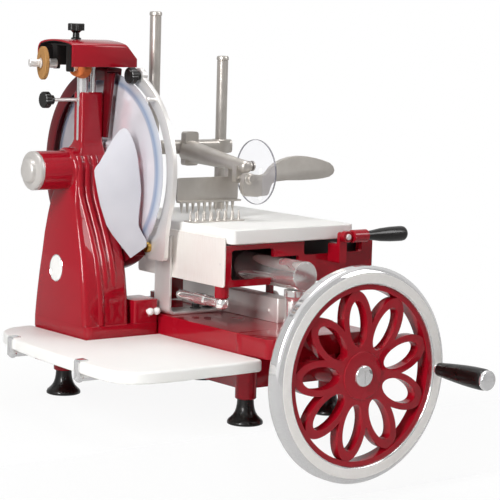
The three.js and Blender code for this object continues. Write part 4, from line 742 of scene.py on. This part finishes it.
# Guard bracket
# A strip of satin steel bent to an L on the base's deck, with a block arm for the guard's bolt.
# Two black cap screws with washers hold its foot.
deck = base_top + 0.3


def strip(name, points, y_low, y_high):
    """A bent strip or block along Y, its outline in (x, z) points."""
    return drawn(name, [(x, y_low, z) for x, z in points], away * (y_high - y_low))


bend_place = (0, deck + 12)
bracket = strip(
    "bracket_bent",
    arc_points(bend_place, 12, 180, 270, 8) + [(100, deck), (100, deck + 5)]
    + arc_points(bend_place, 7, 270, 180, 8) + [(-7, 287), (-12, 287)], bolt_y - 27, bolt_y + 18)
join_on(bracket, slab(
    "bracket_arm", (-29.7, -11), (bolt_y - 11, bolt_y + 11), (bolt_z - 11, bolt_z + 11), 3, 3, 0))
finish(bracket, satin_steel, "machine", ["guard_bracket"], 0.8, 2, 35)
for number, x in enumerate([60, 86]):
    screw_place = (x, bolt_y - 4, deck + 4.7)
    screw = bolted(
        f"bracket_screw_{number + 1}",
        turned("washer", screw_place, up, [(9.6, 0), (10, 0.4), (10, 1.6), (9.6, 2)], 32),
        fluted_disc("cap_head", screw_place, up, 6.4, 2, 8.6, 24, 0.4))
    finish(screw, black_phenolic, "machine")

# Slide bar, its front post, rear pedestal and cover
# The round bar that carries the carriage is ground and chrome plated. It rests on a turned post
# in front and on a red pedestal behind; a folded steel cover stands under it.
# Chrome over a ground surface blurs its reflections a little more than the polished plate does.
ground_chrome = new_material("ground_chrome", "#f6f4f2", Metallic=0.76, Roughness=0.1)
mottle(ground_chrome, 30, 3, gloss=(0.09, 0.12))
bar_x, bar_z = 120, 234
bar_place = (bar_x, 0, bar_z)
slide_bar = turned("slide_bar_ground", bar_place, away, [
    (2, 3.6), (2.3, 3), (22.3, 3), (22.5, 3.5), (23, 3.5), (23.2, 3), (24.4, 3), (25, 3.6), (25, 424)], 96)
finish(slide_bar, ground_chrome, "machine", ["slide_bar"])
front_post = turned("front_post_turned", (bar_x, 30, 0), up, [
    (17.6, deck), (18, deck + 0.4), (18, deck + 8), (17, deck + 9), (15.4, deck + 10), (15, deck + 12),
    (15, 190), (15.6, 194), (18, 198), (18, 208), (17.6, 208.6)], 64)
finish(front_post, ground_chrome, "machine", ["bar_front_post"])
pedestal = slab("pedestal_cast", (bar_x - 22, bar_x + 22), (366, 404), (deck, bar_z), 5)
join_on(pedestal, slab("pedestal_foot", (bar_x - 34, bar_x + 34), (362, 408), (deck, deck + 10), 6))
cut_out(pedestal, rod(bar_place, away, 25.3, 350, 412, 96))
finish(pedestal, red_enamel, "machine", ["bar_rear_pedestal"], 1.6, 3, 35)
cover = slab("cover_folded", (bar_x - 16, bar_x + 16), (54, 330), (deck, 191), 3)
for y in (80, 192, 304):
    join_on(cover, turned("screw_head", (bar_x - 16, y, 168), -across, [(4, -1), (4, 0.8), (3.2, 1.4)], 20))
finish(cover, satin_steel, "machine", ["bar_cover"], 1.0, 2, 40)
rail = slab("rail_ground", (188, 198), (20, 405), (deck, 152.7), 2, 2)
finish(rail, satin_steel, "machine", ["roller_rail"], 0.5, 2, 35)

# Carriage frame and its side panel
# A red cast frame slides on the bar: end plates with windows, side rails, a bored sleeve and
# the arm for its roller. A cream satin panel with a beaded top edge covers its left side.
carriage = (-4, 312)
carriage_depth = (58, 308)
carriage_height = (216, 285)
shade_baffle_height = (218, 284.6)
bar_window = (bar_x - 30, bar_x + 30)
slide_y = 182
screw_z = 273
screw_axis = (0, slide_y, screw_z)
thread_bore = 5.35
carriage_frame = slab("frame_front", carriage, (58, 66), carriage_height, 6, 4, 1)
for x, z in [((8, 96), (227, 277)), (bar_window, (205, 262)), ((160, 288), (262, 287))]:
    cut_out(carriage_frame, slab("window", x, (50, 70), z, 5, 4, 1))
frame_back = slab("frame_back", carriage, (300, 308), carriage_height, 6, 4, 1)
cut_out(frame_back, slab("window", bar_window, (290, 312), (205, 262), 5, 4, 1))


def cut_ways(piece):
    """Bores the carriage's way for the bar, its slot for the feed nut and its bore for the feed screw."""
    cut_out(
        piece, rod(bar_place, away, 25.35, 50, 315, 96),
        slab("nut_window", (8, 99), (slide_y - 7, slide_y + 7), (263, 286)),
        rod(screw_axis, across, thread_bore, 0, 313))


join_on(
    carriage_frame, frame_back,
    slab("left_rail", (-4, 6), carriage_depth, carriage_height),
    slab("right_rail", (302, 312), carriage_depth, (250, 285), 3, 3, 1),
    slab("cross_web", carriage, (slide_y - 6, slide_y + 6), (262, 285)),
    turned("rod_boss", (6, 80, 0), up, [(11.2, 196), (12.2, 197), (12.2, 226)], 48),
    slab("roller_arm", (182, 190), (slide_y - 6, slide_y + 6), (159, 264), 3, 3, 0))
cut_ways(carriage_frame)
finish(carriage_frame, red_enamel, "carriage", ["carriage_frame"], 0.9, 2, 35)

# The sleeve and baffles inside the frame are painted shade: dark pieces set in its shadowed inside,
# in a flat black that is slightly grainy
shade_black_paint = new_material("shade_black_paint", "#0f0a0a", Roughness=0.6)
mottle(shade_black_paint, 140, 4, relief=(0.2, 0.3))
sleeve = turned("frame_sleeve", bar_place, away, [(33, 170), (34, 171), (34, 269), (33, 270)], 96)
join_on(
    sleeve,
    slab("sleeve_web", (bar_x - 20, bar_x + 20), (slide_y - 11, slide_y + 11), (bar_z, 284.6)),
    slab("left_baffle", (6.3, 164), (166, 171.5), shade_baffle_height),
    slab("baffle_rib", (160, 164), (90, 171.5), shade_baffle_height),
    slab("right_baffle", (160, 301.7), (90, 95), shade_baffle_height))
cut_ways(sleeve)
finish(sleeve, shade_black_paint, "carriage", (), 0.6, 2, 35)
roller_pin = turned("roller_pin", (0, slide_y, 168), across, [
    (4, 184), (4, 199.4), (6.4, 199.4), (7, 200), (7, 202.4), (6.4, 203)], 32)
finish(roller_pin, satin_steel, "carriage")

# The panel's lacquer is a warm near-white, brushed on in faint upright strokes
cream_lacquer = new_material("cream_lacquered_steel", "#f7f2ec", Metallic=0.2, Roughness=0.38)
mottle(cream_lacquer, 40, 5, 0.65, (1, 8, 1), tones=("#f0eae3", "#fcf9f5"), relief=(0.04, 0.2))
panel = slab("panel_cream", (-6.5, -4.3), carriage_depth, (216, 297.6), 5, 5, 0)
join_on(panel, round_rail("panel_bead", [(-5.4, 60, 296.4), (-5.4, 306, 296.4)], 1.5))
finish(panel, cream_lacquer, "carriage", ["carriage_panel"], 0.5, 2, 35)
panel_screw = turned("panel_screw", (-6.5, 70, 254), -across, [(2.2, -0.5), (2.2, 0.2), (1.4, 0.6)], 24)
finish(panel_screw, satin_steel, "carriage")
roller = turned("roller_turned", (0, slide_y, 168), across, [
    (4.3, 190.5), (14, 190.5), (15, 191.4), (15, 198.1), (14, 199), (8, 199), (7.4, 198.2), (4.3, 198.2),
    (4.3, 190.5)], 64)
finish(roller, satin_steel, "roller", ["carriage_roller"])

# Connecting rod: a plated ball joint under the carriage's corner boss, with its shank going back
connecting_rod = bolted(
    "connecting_rod_plated",
    turned("rod_joint", (6, 80, 0), up, [
        (0, 177), (6.6, 177.5), (10, 180), (11.6, 184), (11.6, 189.6), (10, 193.4), (7, 195.2), (5, 195.7),
        (5, 213)], 48),
    turned("shank", (6, 0, 187), away, [
        (8.6, 86), (8.6, 118), (8, 120), (8, 123), (9.6, 124), (9.6, 150), (8, 152), (8, 199), (7, 200)], 32))
finish(connecting_rod, ground_chrome, "carriage", ["connecting_rod"])

# Food table and its spiked strip
# A thick white polyethylene board with well-rounded edges, screwed to the cross slide. A nickel
# plated strip with two rows of drawn spikes near the blade keeps the meat from slipping.
# The board is waxy and lets a little light into it; the dull nickel has lighter and darker clouds.
white_board = new_material(
    "white_polyethylene", "#f4f3f0", Roughness=0.5, Specular_IOR_Level=0.3, Subsurface_Weight=0.12,
    Subsurface_Scale=2 * mm, Subsurface_Radius=(1.0, 0.95, 0.9))
mottle(white_board, 220, 4, 0.6, gloss=(0.44, 0.56), relief=(0.06, 0.2))
rod_places = {"clamp_rod_tall": 49, "clamp_rod_short": 197}
rod_y = 352
table = slab("table_board", (-2, 256), (43, 400), (288, 312), 9, 6)
for x in rod_places.values():
    cut_out(table, rod((x, rod_y, 0), up, 10.3, 300, 314, 48))
finish(table, white_board, "table", ["food_table"], 3.2, 5, 50)
cast_nickel = new_material("dull_nickel_plate", "#c6c0b9", Metallic=0.7, Roughness=0.34)
mottle(cast_nickel, 35, 5, 0.6, tones=("#bab3ab", "#d4cfc9"), gloss=(0.26, 0.42))
spikes = [slab("spike_strip", (0, 110), (158, 186), (312.3, 314), 3, 3)]
for y in (164, 180):
    for step in range(7):
        spikes.append(turned("spike", (10 + 15 * step, y, 312), up, [
            (3, 1.5), (2.4, 3), (1.8, 8), (1.3, 14), (0.6, 18.6), (0, 20)], 16))
finish(bolted("spiked_strip", *spikes), cast_nickel, "table", ["table_spikes"])

# Feed screw with its moulded end knob, and the brass nut under the table
# The cut thread is modelled as close rings along the spindle's length, in steel blackened unevenly.
dark_steel = new_material("blackened_steel", "#3a393b", Metallic=0.9, Roughness=0.4)
mottle(dark_steel, 80, 5, gloss=(0.3, 0.55))
thread = [(4.2 if turn % 2 else 5.0, 3 + turn * 1.5) for turn in range(200)]
feed_screw = turned("feed_screw_threaded", screw_axis, across, [
    (4.2, 1), *thread, (4.2, 304), (4.6, 306), (5, 308), (5, 316)], 24)
finish(feed_screw, dark_steel, "feed_screw", ["feed_screw"], corner=60)
screw_knob = fluted_disc("feed_screw_knob", (312.3, slide_y, screw_z), across, 11, 0, 11.7, 18)
finish(screw_knob, black_phenolic, "feed_screw", corner=28)
nut_body = slab("nut_body", (28, 42), (slide_y - 6.6, slide_y + 6.6), (264, 287.7))
join_on(nut_body, slab("nut_flange", (28, 42), (slide_y - 18, slide_y + 18), (285.5, 287.7)))
cut_out(nut_body, rod(screw_axis, across, thread_bore, 27, 43))
finish(nut_body, brass, "table", ["feed_nut"], 0.4, 2, 35)

# Clamp rods: ground steel uprights with turned caps, in the duller nickel of the whole clamp
for rod_node, top in [("clamp_rod_tall", 663), ("clamp_rod_short", 587)]:
    clamp_rod = turned(rod_node + "_ground", (rod_places[rod_node], rod_y, 0), up, [
        (10, 300.5), (10, top - 9), (9.6, top - 8.6), (9.6, top - 8), (10, top - 7.6), (11, top - 6.6),
        (11, top - 3), (10, top - 1), (8, top)], 64)
    finish(clamp_rod, cast_nickel, "table", [rod_node])

# Clamp arm
# A crossbar slides on the two rods, with a cast block and a tapering arm towards the operator.
# It carries the handle's pin and the stud of the clear guard.
arm_x = 118
arm_front, arm_back = 165, rod_y - 10
arm_length = arm_back - arm_front
crossbar_z = 425
crossbar_under, crossbar_over = crossbar_z - 12, crossbar_z + 12
handle_x, handle_y, handle_z = 112, arm_front + 8, 384
stud_y, stud_z = handle_y + 12, handle_z + 19
crossbar = slab("crossbar", (32, 214), (rod_y - 13, rod_y + 13), (crossbar_under, crossbar_over), 6, 4, 0)
for x in rod_places.values():
    join_on(crossbar, turned("collar", (x, rod_y, 0), up, [
        (16, crossbar_under), (17, crossbar_under + 1), (17, crossbar_over - 1), (16, crossbar_over)], 48))
join_on(
    crossbar,
    slab("arm_block", (arm_x - 14, arm_x + 14), (rod_y - 22, rod_y - 8), (393, 453), 5, 4, 1),
    turned("arm", (arm_x, arm_back, crossbar_z - 6), (0, -arm_length, -17), [
        (20, 0), (19.4, 12), (17.4, 40), (15, 80), (12.8, 120), (11.6, 150), (11, arm_length - 6),
        (9.4, arm_length - 1), (8, arm_length)], 48),
    slab("hanger", (arm_x - 9, arm_x + 9), (210, 220), (352, 413), 3, 3, 1),
    slab("pin_lug", (arm_x - 14, arm_x + 4), (179, 191), (375, 406), 4, 3, 1),
    turned("handle_pin", (handle_x, 0, handle_z), away, [
        (6, 144), (7, 145), (7, 148.5), (4, 148.5), (4, 193)], 32),
    turned("guard_stud", (0, stud_y, stud_z), across, [
        (9, arm_x), (9, 136.7), (5, 136.7), (5, 140.3), (9, 140.3), (9, 143), (8, 144)], 32))
for x in rod_places.values():
    cut_out(crossbar, rod((x, rod_y, 0), up, 10.35, 400, 450, 64))
finish(crossbar, cast_nickel, "clamp", ["clamp_arm"], 0.8, 2, 38)

# Toothed jaw: a nickel plated sheet with a turned-in flange and a rack of pointed teeth below
jaw_y = 205
jaw = slab("jaw_plate", (0, 128), (jaw_y, jaw_y + 4.7), (342, 384), 6, 4, 1)
join_on(jaw, slab("jaw_flange", (0, 128), (jaw_y - 10, jaw_y + 3), (342.1, 345), 1, 2, 1))
teeth = [
    turned("jaw_tooth", (6 + 12 * step, jaw_y - 4, 342), up, [
        (3, 1), (3, -0.6), (2.2, -8), (1.2, -14), (0.4, -17.4), (0, -18)], 16) for step in range(10)]
toothed = bolted("jaw_toothed", jaw, *teeth)
finish(toothed, cast_nickel, "clamp", ["clamp_jaw"], corner=35)

# Thumb lever of the clamp: a cast hub and arm that widen into a smooth dished paddle
paddle_edge = [
    (-14, -10), (-12, -24), (-6, -29.6), (16, -31), (38, -29.4), (42, -26), (44, -19), (48, -10), (55, -6),
    (80, -4.6), (114, -5.3), (147, -4.5), (163, -3), (176, -0.6), (184, 4), (187, 10), (184, 17), (176, 23.4),
    (162, 28), (146, 32), (124, 36), (106, 37), (88, 35.4), (70, 31), (56, 25), (47, 19), (42, 13), (36, 7.6),
    (28, 5.4), (10, 7.4), (-10, 9.4)]
paddle = strip(
    "paddle", [(handle_x + x, handle_z + z) for x, z in paddle_edge], handle_y - 22, handle_y - 12)
hub_front, hub_back = handle_y - 24, handle_y - 9.3
join_on(paddle, turned("handle_hub", (handle_x, 0, handle_z), away, [
    (8.4, hub_front), (10, hub_front + 1.4), (10, hub_back - 1.4), (8.4, hub_back)], 64))
cut_out(paddle, rod((handle_x, 0, handle_z), away, 4.35, 140, 180))
finish(paddle, cast_nickel, "clamp_handle", ["clamp_handle"], 2.6, 4, 42)

# Clear guard: a disc of cast acrylic on the arm's stud. Its faces are all but invisible, and its
# sawn and polished rim is painted a half-opaque grey, painted shade for the thin grey line the edge shows.
clear_acrylic = new_material("clear_acrylic", "#c9c8dc", Roughness=0.04, IOR=1.49, Alpha=0.07)
acrylic_rim_painted_grey = new_material("acrylic_rim_painted_grey", "#8d8b93", Roughness=0.15, IOR=1.49, Alpha=0.75)
for acrylic in (clear_acrylic, acrylic_rim_painted_grey):
    mottle(acrylic, 30, 2, relief=(0.02, 0.2))
disc_left = 137
disc_place = (disc_left, handle_y - 4, handle_z + 10)
disc = turned("clear_disc", disc_place, across, [(55, 0), (55, 3)], 128)
cut_out(
    disc, rod((disc_left, stud_y, stud_z), across, 5.3, -1, 4),
    slab("lever_slot", (disc_left - 1, disc_left + 4), (handle_y - 24, handle_y - 10), (346, 402), 4, 4, 0))
finish(disc, clear_acrylic, "clamp", ["clear_disc_guard"])
disc_rim = turned("clear_disc_rim", disc_place, across, [
    (55, 0), (55.7, 0), (56, 0.3), (56, 2.7), (55.7, 3), (55, 3), (55, 0)], 128)
finish(disc_rim, acrylic_rim_painted_grey, "clamp")

# Table lever: red bracket with its pin, red hub and body, black turned grip
lever_x, lever_y, lever_z = 221, 33, 294
lever_axis = (lever_x, 0, lever_z)
body_y = lever_y - 11.65
lever_width = (lever_x - 9, lever_x + 7)
lever_bracket = slab("lever_bracket_cast", lever_width, (lever_y - 6, 57.7), (248, 281), 4, 4, 1)
join_on(lever_bracket, slab(
    "lever_cheek", lever_width, (lever_y - 6, lever_y + 1), (268, lever_z + 7), 5, 5, 1))
finish(lever_bracket, red_enamel, "carriage", ["lever_bracket"], 1.2, 3, 35)
lever_pin = turned("lever_pin", lever_axis, away, [(4.2, 13), (5, 13.8), (5, 15.7), (3.5, 15.7), (3.5, 28)], 32)
finish(lever_pin, satin_steel, "carriage")
lever_eye = turned("lever_eye", lever_axis, away, [(9, 16), (10, 17), (10, 25.6), (9, 26.6)], 48)
join_on(lever_eye, turned("lever_body", (0, body_y, lever_z), across, [
    (5, lever_x), (5, lever_x + 11), (9.6, lever_x + 11.4), (11, lever_x + 13), (11, lever_x + 43),
    (9.6, lever_x + 44.8), (0, lever_x + 45)], 64))
cut_out(lever_eye, rod(lever_axis, away, 3.8, 12, 30))
finish(lever_eye, red_enamel, "table_lever", ["table_lever"], corner=35)
lever_grip = turned("lever_grip_turned", (lever_x + 45.3, body_y, lever_z), across, [
    (7, 0), (7.5, 0.6), (7.9, 6), (9.2, 16), (11.2, 30), (12.7, 52), (13, 68), (13, 78), (12.2, 82.4),
    (10.6, 84.6)])
finish(lever_grip, black_phenolic, "table_lever", ["lever_grip"])

# Sharpener: post, guide pin and hood
# The head slides on a plated post and a thinner guide pin in the column. Its hood is steel sheet
# bent round the two stones, open at its left end and below, and enamelled red.
hood_front, hood_back = 293, 405
hood_bottom, hood_top = 567, 612
hood_crown = 6
post_top = 608.7
for post_node, x, radius, foot in [
    ("sharpener_post", post_x, 9.5, 432), ("sharpener_guide_pin", pin_x, 5, 472),
]:
    post = turned(post_node + "_plated", (x, blade_y, 0), up, [
        (radius - 0.8, foot), (radius, foot + 0.8), (radius, 607.9), (radius - 0.8, post_top)], 64)
    finish(post, chrome_plate, "sharpener", [post_node])


def hood_solid(name, inset, left, right_side, under):
    """The hood's domed section, set in from its outside, drawn along X, with its right end sloped off."""
    middle, half = (hood_front + hood_back) / 2, (hood_back - hood_front) / 2
    rear = arc_points((hood_back - 16, hood_top - hood_crown - 14), 16 - inset, 0, 70, 7)
    crown = [(middle + half * share, hood_top - inset - hood_crown * share ** 2)
             for share in (0.62, 0.4, 0.2, 0, -0.2, -0.4, -0.62, -0.8)]
    front = arc_points((hood_front + 5, hood_top - hood_crown - 5), 5 - inset, 105, 180, 5)
    section = [(hood_back - inset, under)] + rear + crown + front + [(hood_front + inset, under)]
    slant = [(-58 - inset * 1.4, 614), (-27, 614), (-27, 580 - inset * 1.4)]
    return cut_out(
        plate(name, section, left, right_side), strip("hood_slant", slant, hood_front - 5, hood_back + 5))


knob_x = -120
hood = hood_solid("hood_bent", 0, -158, -28, hood_bottom)
cut_out(
    hood, hood_solid("hood_hollow", 3, -160, -31, hood_bottom - 5),
    rod((knob_x, blade_y, 0), up, 3.4, 600, 620))
finish(hood, red_enamel, "sharpener", ["sharpener_hood"], 0.7, 2, 38)
# A black lining inside the hood: painted shade for its dark inside
hood_lining = hood_solid("hood_lining", 3.1, -157, -31.1, hood_bottom + 0.5)
cut_out(hood_lining, hood_solid("lining_hollow", 4, -160, -32, hood_bottom - 5))
for x, radius in [(post_x, 10), (pin_x, 5.5), (knob_x, 3.6)]:
    cut_out(hood_lining, rod((x, blade_y, 0), up, radius, 560, 620))
finish(hood_lining, shade_black_paint, "sharpener", corner=38)
hood_stud = turned("hood_stud", (-44, 318, 594), (1, 0, 0.9), [(4, -2), (4, 1.4), (3.2, 2.4)], 24)
finish(hood_stud, satin_steel, "sharpener")

# Top knob: moulded, fluted, on a short neck with a collar
top_place = (knob_x, blade_y, hood_top)
top_knob = bolted(
    "top_knob_moulded",
    turned("top_neck", top_place, up, [
        (3, -16), (3, 0.3), (8.6, 0.3), (8.6, 2.4), (6, 3.6), (5.6, 11), (8, 13.6), (11, 15.4)], 48),
    fluted_disc("top_grip", top_place, up, 14, 15, 27, 24))
finish(top_knob, black_phenolic, "sharpener_knob", ["sharpener_top_knob"], corner=28)

# Stones and their carrier
# Two grinding wheels of bonded grit stand on steel spindles that hang from a plate in the hood:
# an amber disc that grinds the bevel and an orange cup that takes off the burr.
# Both are dull and rough, speckled in two tones of their grit, which is drawn coarse enough to show.
amber_stone = new_material("amber_grindstone", "#ac7b45", Roughness=0.85)
mottle(amber_stone, 900, 3, tones=("#8a5c2c", "#c8975a"), relief=(0.5, 0.4))
orange_stone = new_material("orange_grindstone", "#c8632a", Roughness=0.85)
mottle(orange_stone, 900, 3, tones=("#a84c1e", "#d97a3c"), relief=(0.5, 0.4))
flat_place, flat_axis = (-164, 362, 571), (-1, 0.27, 0)
cup_place, cup_axis = (-124, 328, 566), (1, 0.5, 0.25)
flat_stone = turned("flat_stone_moulded", flat_place, flat_axis, [
    (4.3, 4), (27, 4), (28, 5), (28, 10), (27, 11), (14, 11), (13.4, 10.2), (4.3, 10.2), (4.3, 4)], 96)
finish(flat_stone, amber_stone, "flat_stone", ["flat_stone"])
cup_stone = turned("cup_stone_moulded", cup_place, cup_axis, [
    (4.3, -8), (14, -8), (15.4, -7), (21.6, 7), (22, 8), (17.6, 8), (17, 7.4), (12, -2), (4.3, -2),
    (4.3, -8)], 96)
finish(cup_stone, orange_stone, "cup_stone", ["cup_stone"])
# The carrier plate and its hangers are black, painted shade for the dark inside of the hood
carrier = slab("carrier_plate", (-150, -116), (318, 378), (post_top - 7, post_top - 4), 4, 3)
join_on(
    carrier,
    slab("flat_hanger", (-150, -143), (355, 368), (562, post_top - 5), 3, 3, 0),
    slab("cup_hanger", (-146, -139), (318, 332), (558, post_top - 5), 3, 3, 0))
for x, radius in [(post_x, 9.85), (knob_x, 3.35)]:
    cut_out(carrier, rod((x, blade_y, 0), up, radius, 500, 620, 48))
finish(carrier, shade_black_paint, "sharpener", ["stone_carrier"], 0.5, 2, 35)
flat_spindle = turned("flat_spindle", flat_place, flat_axis, [
    (7, -16), (8, -15), (8, 3), (7, 3.7), (4, 3.7), (4, 11.3), (8.4, 11.3), (8.4, 12.8), (6.6, 13.4), (6.6, 17),
    (6, 17.6), (6, 18.6), (6.6, 19.2), (6.6, 31), (5.8, 32)], 48)
finish(flat_spindle, satin_steel, "sharpener")
cup_spindle = turned("cup_spindle", cup_place, cup_axis, [
    (4, -18), (4, -1.7), (7.4, -1.7), (7.4, 0.6), (5.6, 1.2), (5.6, 4), (4, 4.4), (4, 11.4), (3.4, 12)], 48)
finish(cup_spindle, satin_steel, "sharpener")

# Clamp screw in the column's side, with its moulded knob
screw_place = (0, blade_y, 510)
screw_thread = [(3.0 if turn % 2 else 2.5, -163 + turn) for turn in range(46)]
column_screw = turned("column_screw_stem", screw_place, across, [
    (0, -164), *screw_thread, (3, -116), (0, -114.8)], 24)
finish(column_screw, satin_steel, "column_clamp", corner=60)
column_knob = bolted(
    "column_knob_moulded",
    turned("screw_neck", screw_place, across, [
        (11, -174), (8.6, -171), (8, -169), (8, -164.6), (7.2, -164)], 48),
    fluted_disc("screw_grip", screw_place, -across, 14, 173.4, 184))
finish(column_knob, black_phenolic, "column_clamp", ["column_clamp_screw"], corner=28)

# Flywheel
# The heavy rim is turned and chrome plated; its pale front face is satin. Inside it sits the red
# cast wheel, whose nine looped spokes spread like petals from a raised hub.
wheel_x, wheel_z = 148, 85
wheel_axis = (wheel_x, 0, wheel_z)
wheel_front = -123
rim_inner, rim_outer = 150, 179
rim_section = [
    (rim_inner, wheel_front + 3), *arc_points((rim_inner + 2.5, wheel_front + 2.5), 2.5, 180, 270, 4),
    (rim_outer - 12, wheel_front), *arc_points((rim_outer - 15, wheel_front + 17), 17, -80, 80, 18),
    (rim_outer - 14, wheel_front + 34), (rim_inner + 4, wheel_front + 32), (rim_inner, wheel_front + 29),
    (rim_inner, wheel_front + 3)]
rim = turned("flywheel_rim_turned", wheel_axis, away, [
    (min(radius, rim_outer), along) for radius, along in rim_section], 192)
crank_x, crank_z = wheel_x + 160, wheel_z - 2
cut_out(rim, rod((crank_x, 0, crank_z), away, 6.3, -130, -108.7))
finish(rim, chrome_plate, "flywheel", ["flywheel_rim"], corner=34)

# The rim's faced front is nearly white, with a fine even grain that keeps it from mirroring
faced_steel = new_material("faced_rim_steel", "#f6f2ee", Metallic=0.15, Roughness=0.4)
mottle(faced_steel, 170, 4, 0.6, tones=("#f1ede9", "#fbf8f5"))
face_inner, face_outer = rim_inner + 2.6, rim_outer - 10.4
rim_face = turned("flywheel_rim_face", wheel_axis, away, [
    (face_inner, wheel_front + 1), (face_inner, wheel_front - 0.1), (rim_outer - 12, wheel_front - 0.1),
    (face_outer, wheel_front + 0.1), (face_outer, wheel_front + 1), (face_inner, wheel_front + 1)], 192)
finish(rim_face, faced_steel, "flywheel", corner=34)


def oval_block(middle, long_radius, wide_radius, petal_angle, y_low, y_high):
    """An oval block in the wheel's plane, its long axis along a spoke and its middle at a radius."""
    points = []
    for step in range(56):
        turn = math.tau * step / 56
        radial = middle + long_radius * math.cos(turn)
        aside = wide_radius * math.sin(turn)
        points.append((
            wheel_x + radial * math.cos(petal_angle) - aside * math.sin(petal_angle),
            wheel_z + radial * math.sin(petal_angle) + aside * math.cos(petal_angle)))
    return strip("petal", points, y_low, y_high)


spider_front = wheel_front + 4
petal_front, petal_back = spider_front + 2, spider_front + 20
bore = 11.3
petal_count = 9
petal_angles = [math.radians(98) + math.tau * number / petal_count for number in range(petal_count)]
spider = turned("flywheel_spider_cast", wheel_axis, away, [
    (bore, petal_front), (58, petal_front), (58, petal_back), (bore, petal_back), (bore, petal_front)], 96)
for petal_angle in petal_angles:
    join_on(spider, oval_block(87, 55, 29.4, petal_angle, petal_front, petal_back))
join_on(spider, turned("spider_ring", wheel_axis, away, [
    (141, spider_front), (149.7, spider_front), (149.7, wheel_front + 29), (141, wheel_front + 29),
    (141, spider_front)], 144))
for petal_angle in petal_angles:
    cut_out(spider, oval_block(86.5, 38.5, 18.6, petal_angle, spider_front - 5, spider_front + 40))
join_on(spider, turned("spider_boss", wheel_axis, away, [
    (bore, spider_front), (38.6, spider_front), (40, spider_front + 1.4), (40, -86), (38, -84), (bore, -84),
    (bore, spider_front)], 96))
finish(spider, red_enamel, "flywheel", ["flywheel_spider"], 3, 5, 40)

# Hub cap: a turned and plated cap screw with one slot
wheel_cap = turned("wheel_cap", (wheel_x, spider_front - 0.3, wheel_z), -away, [
    (17.5, 0), (17.5, 2.8), (17, 3.8), (15.5, 4.7), (10, 5)])
cut_out(wheel_cap, slab(
    "cap_slot", (wheel_x - 1.3, wheel_x + 1.3), (spider_front - 7, spider_front - 3.3),
    (wheel_z - 12, wheel_z + 12)))
finish(wheel_cap, chrome_plate, "flywheel", ["flywheel_hub_cap"], corner=35)

# Crank: a plated stud, a turned black grip that spins on it, and its slotted end cap
crank_stud = turned("crank_stud_plated", (crank_x, 0, crank_z), away, [
    (5, -143), (5, -127.5), (9.4, -127.5), (10, -126.9), (10, -123.9), (9.4, -123.3), (6, -123.3),
    (6, -109)], 48)
finish(crank_stud, chrome_plate, "flywheel", ["crank_stud"])
grip_y = wheel_front - 5
grip = turned("crank_grip_turned", (crank_x, grip_y, crank_z), -away, [
    (5.35, 0), (10.6, 0), (11.6, 1), (12.1, 8), (13.6, 22), (15.4, 42), (16.9, 62), (17.8, 82), (18, 100),
    (17.8, 106), (17, 109.4), (16.4, 110), (0, 110), (0, 16), (5.35, 16), (5.35, 0)], 96)
finish(grip, black_phenolic, "crank_grip", ["crank_grip"])
grip_cap = turned("grip_cap", (crank_x, grip_y - 110.3, crank_z), -away, [
    (16, 0), (16.6, 0.6), (16.6, 4.6), (15.8, 6), (13.8, 6.8), (7, 7)])
cut_out(grip_cap, slab(
    "grip_slot", (crank_x - 13, crank_x + 13), (grip_y - 119, grip_y - 115.4), (crank_z - 1.2, crank_z + 1.2)))
finish(grip_cap, chrome_plate, "crank_grip", ["crank_grip_cap"], corner=35)

# Receiving tray
# A thick white polyethylene board, cut round the tower's foot, with well-rounded edges. It rests
# on two plated rods, and a bent clip at each rod's end holds it down.
tray_outline = [
    (-165, 400), (-188, 399.4), (-206, 396), (-222, 388), (-235, 375), (-246, 356), (-255, 332), (-262, 306),
    (-268, 270), (-273, 226), (-277, 176), (-280, 126), (-282.6, 76), (-284, 36), (-284.6, 4), (-284, -14),
    (-281.4, -30), (-276, -44), (-268, -55), (-256, -63), (-240, -68.4), (-220, -71.2), (-190, -72.6),
    (-140, -72), (-80, -70), (-24, -67), (-19.6, -65.6), (-17.8, -62), (-17.8, 223), (-165, 223)]
tray = drawn("tray_board_cut", [(x, y, 98) for x, y in tray_outline], up * 19.5)
finish(tray, white_board, "machine", ["tray_board"], 7.5, 7, 40)
for rod_node, y, clip_x, rod_end in [
    ("tray_rod_front", 62, -284, -16.3), ("tray_rod_rear", 300, -264, -163.3),
]:
    tray_rod = turned(rod_node + "_plated", (0, y, 91), across, [
        (0, clip_x - 4.6), *arc_points((0, clip_x + 3), 7.6, -75, 45, 8), (6, clip_x + 9), (6, rod_end - 0.8),
        (5.2, rod_end)], 32)
    join_on(tray_rod, strip("clip", [
        (clip_x - 3, 88), (clip_x - 3, 118), (clip_x - 1, 120.2), (clip_x + 13, 120.6), (clip_x + 15, 119.4),
        (clip_x + 15, 117.8), (clip_x + 0.6, 117.8), (clip_x + 0.6, 88)], y - 7, y + 7))
    finish(tray_rod, chrome_plate, "machine", [rod_node], 0.5, 2, 42)

# Ball knobs: two small bright balls on stems, screwed to the tower's foot
ball_pieces = [
    turned("ball", (x, 228.7, 157), -away, [(3, 0), (3, 3.6), *arc_points((0, 9), 6.5, -60, 90, 15)], 48)
    for x in (-40, -27)]
ball_pieces.append(slab("ball_link", (-40, -27), (226, 228.7), (155, 159)))
finish(bolted("ball_knobs_turned", *ball_pieces), white_enamel, "machine", ["ball_knobs"])

# Drive inside the castings: axle, cross shaft, blade shaft and chain keep their CAD solids
# They are oiled steel with fine turning marks, seen only from below and through the gaps.
for node, steel, slot in [
    ("flywheel_axle", satin_steel, "polished_steel"), ("cross_shaft", satin_steel, "polished_steel"),
    ("blade_shaft", ground_steel, "polished_steel"), ("drive_chain", dark_steel, "dark_steel"),
]:
    drive_piece = bpy.data.objects[node]
    drive_piece.data.materials.clear()
    drive_piece.data.materials.append(steel)
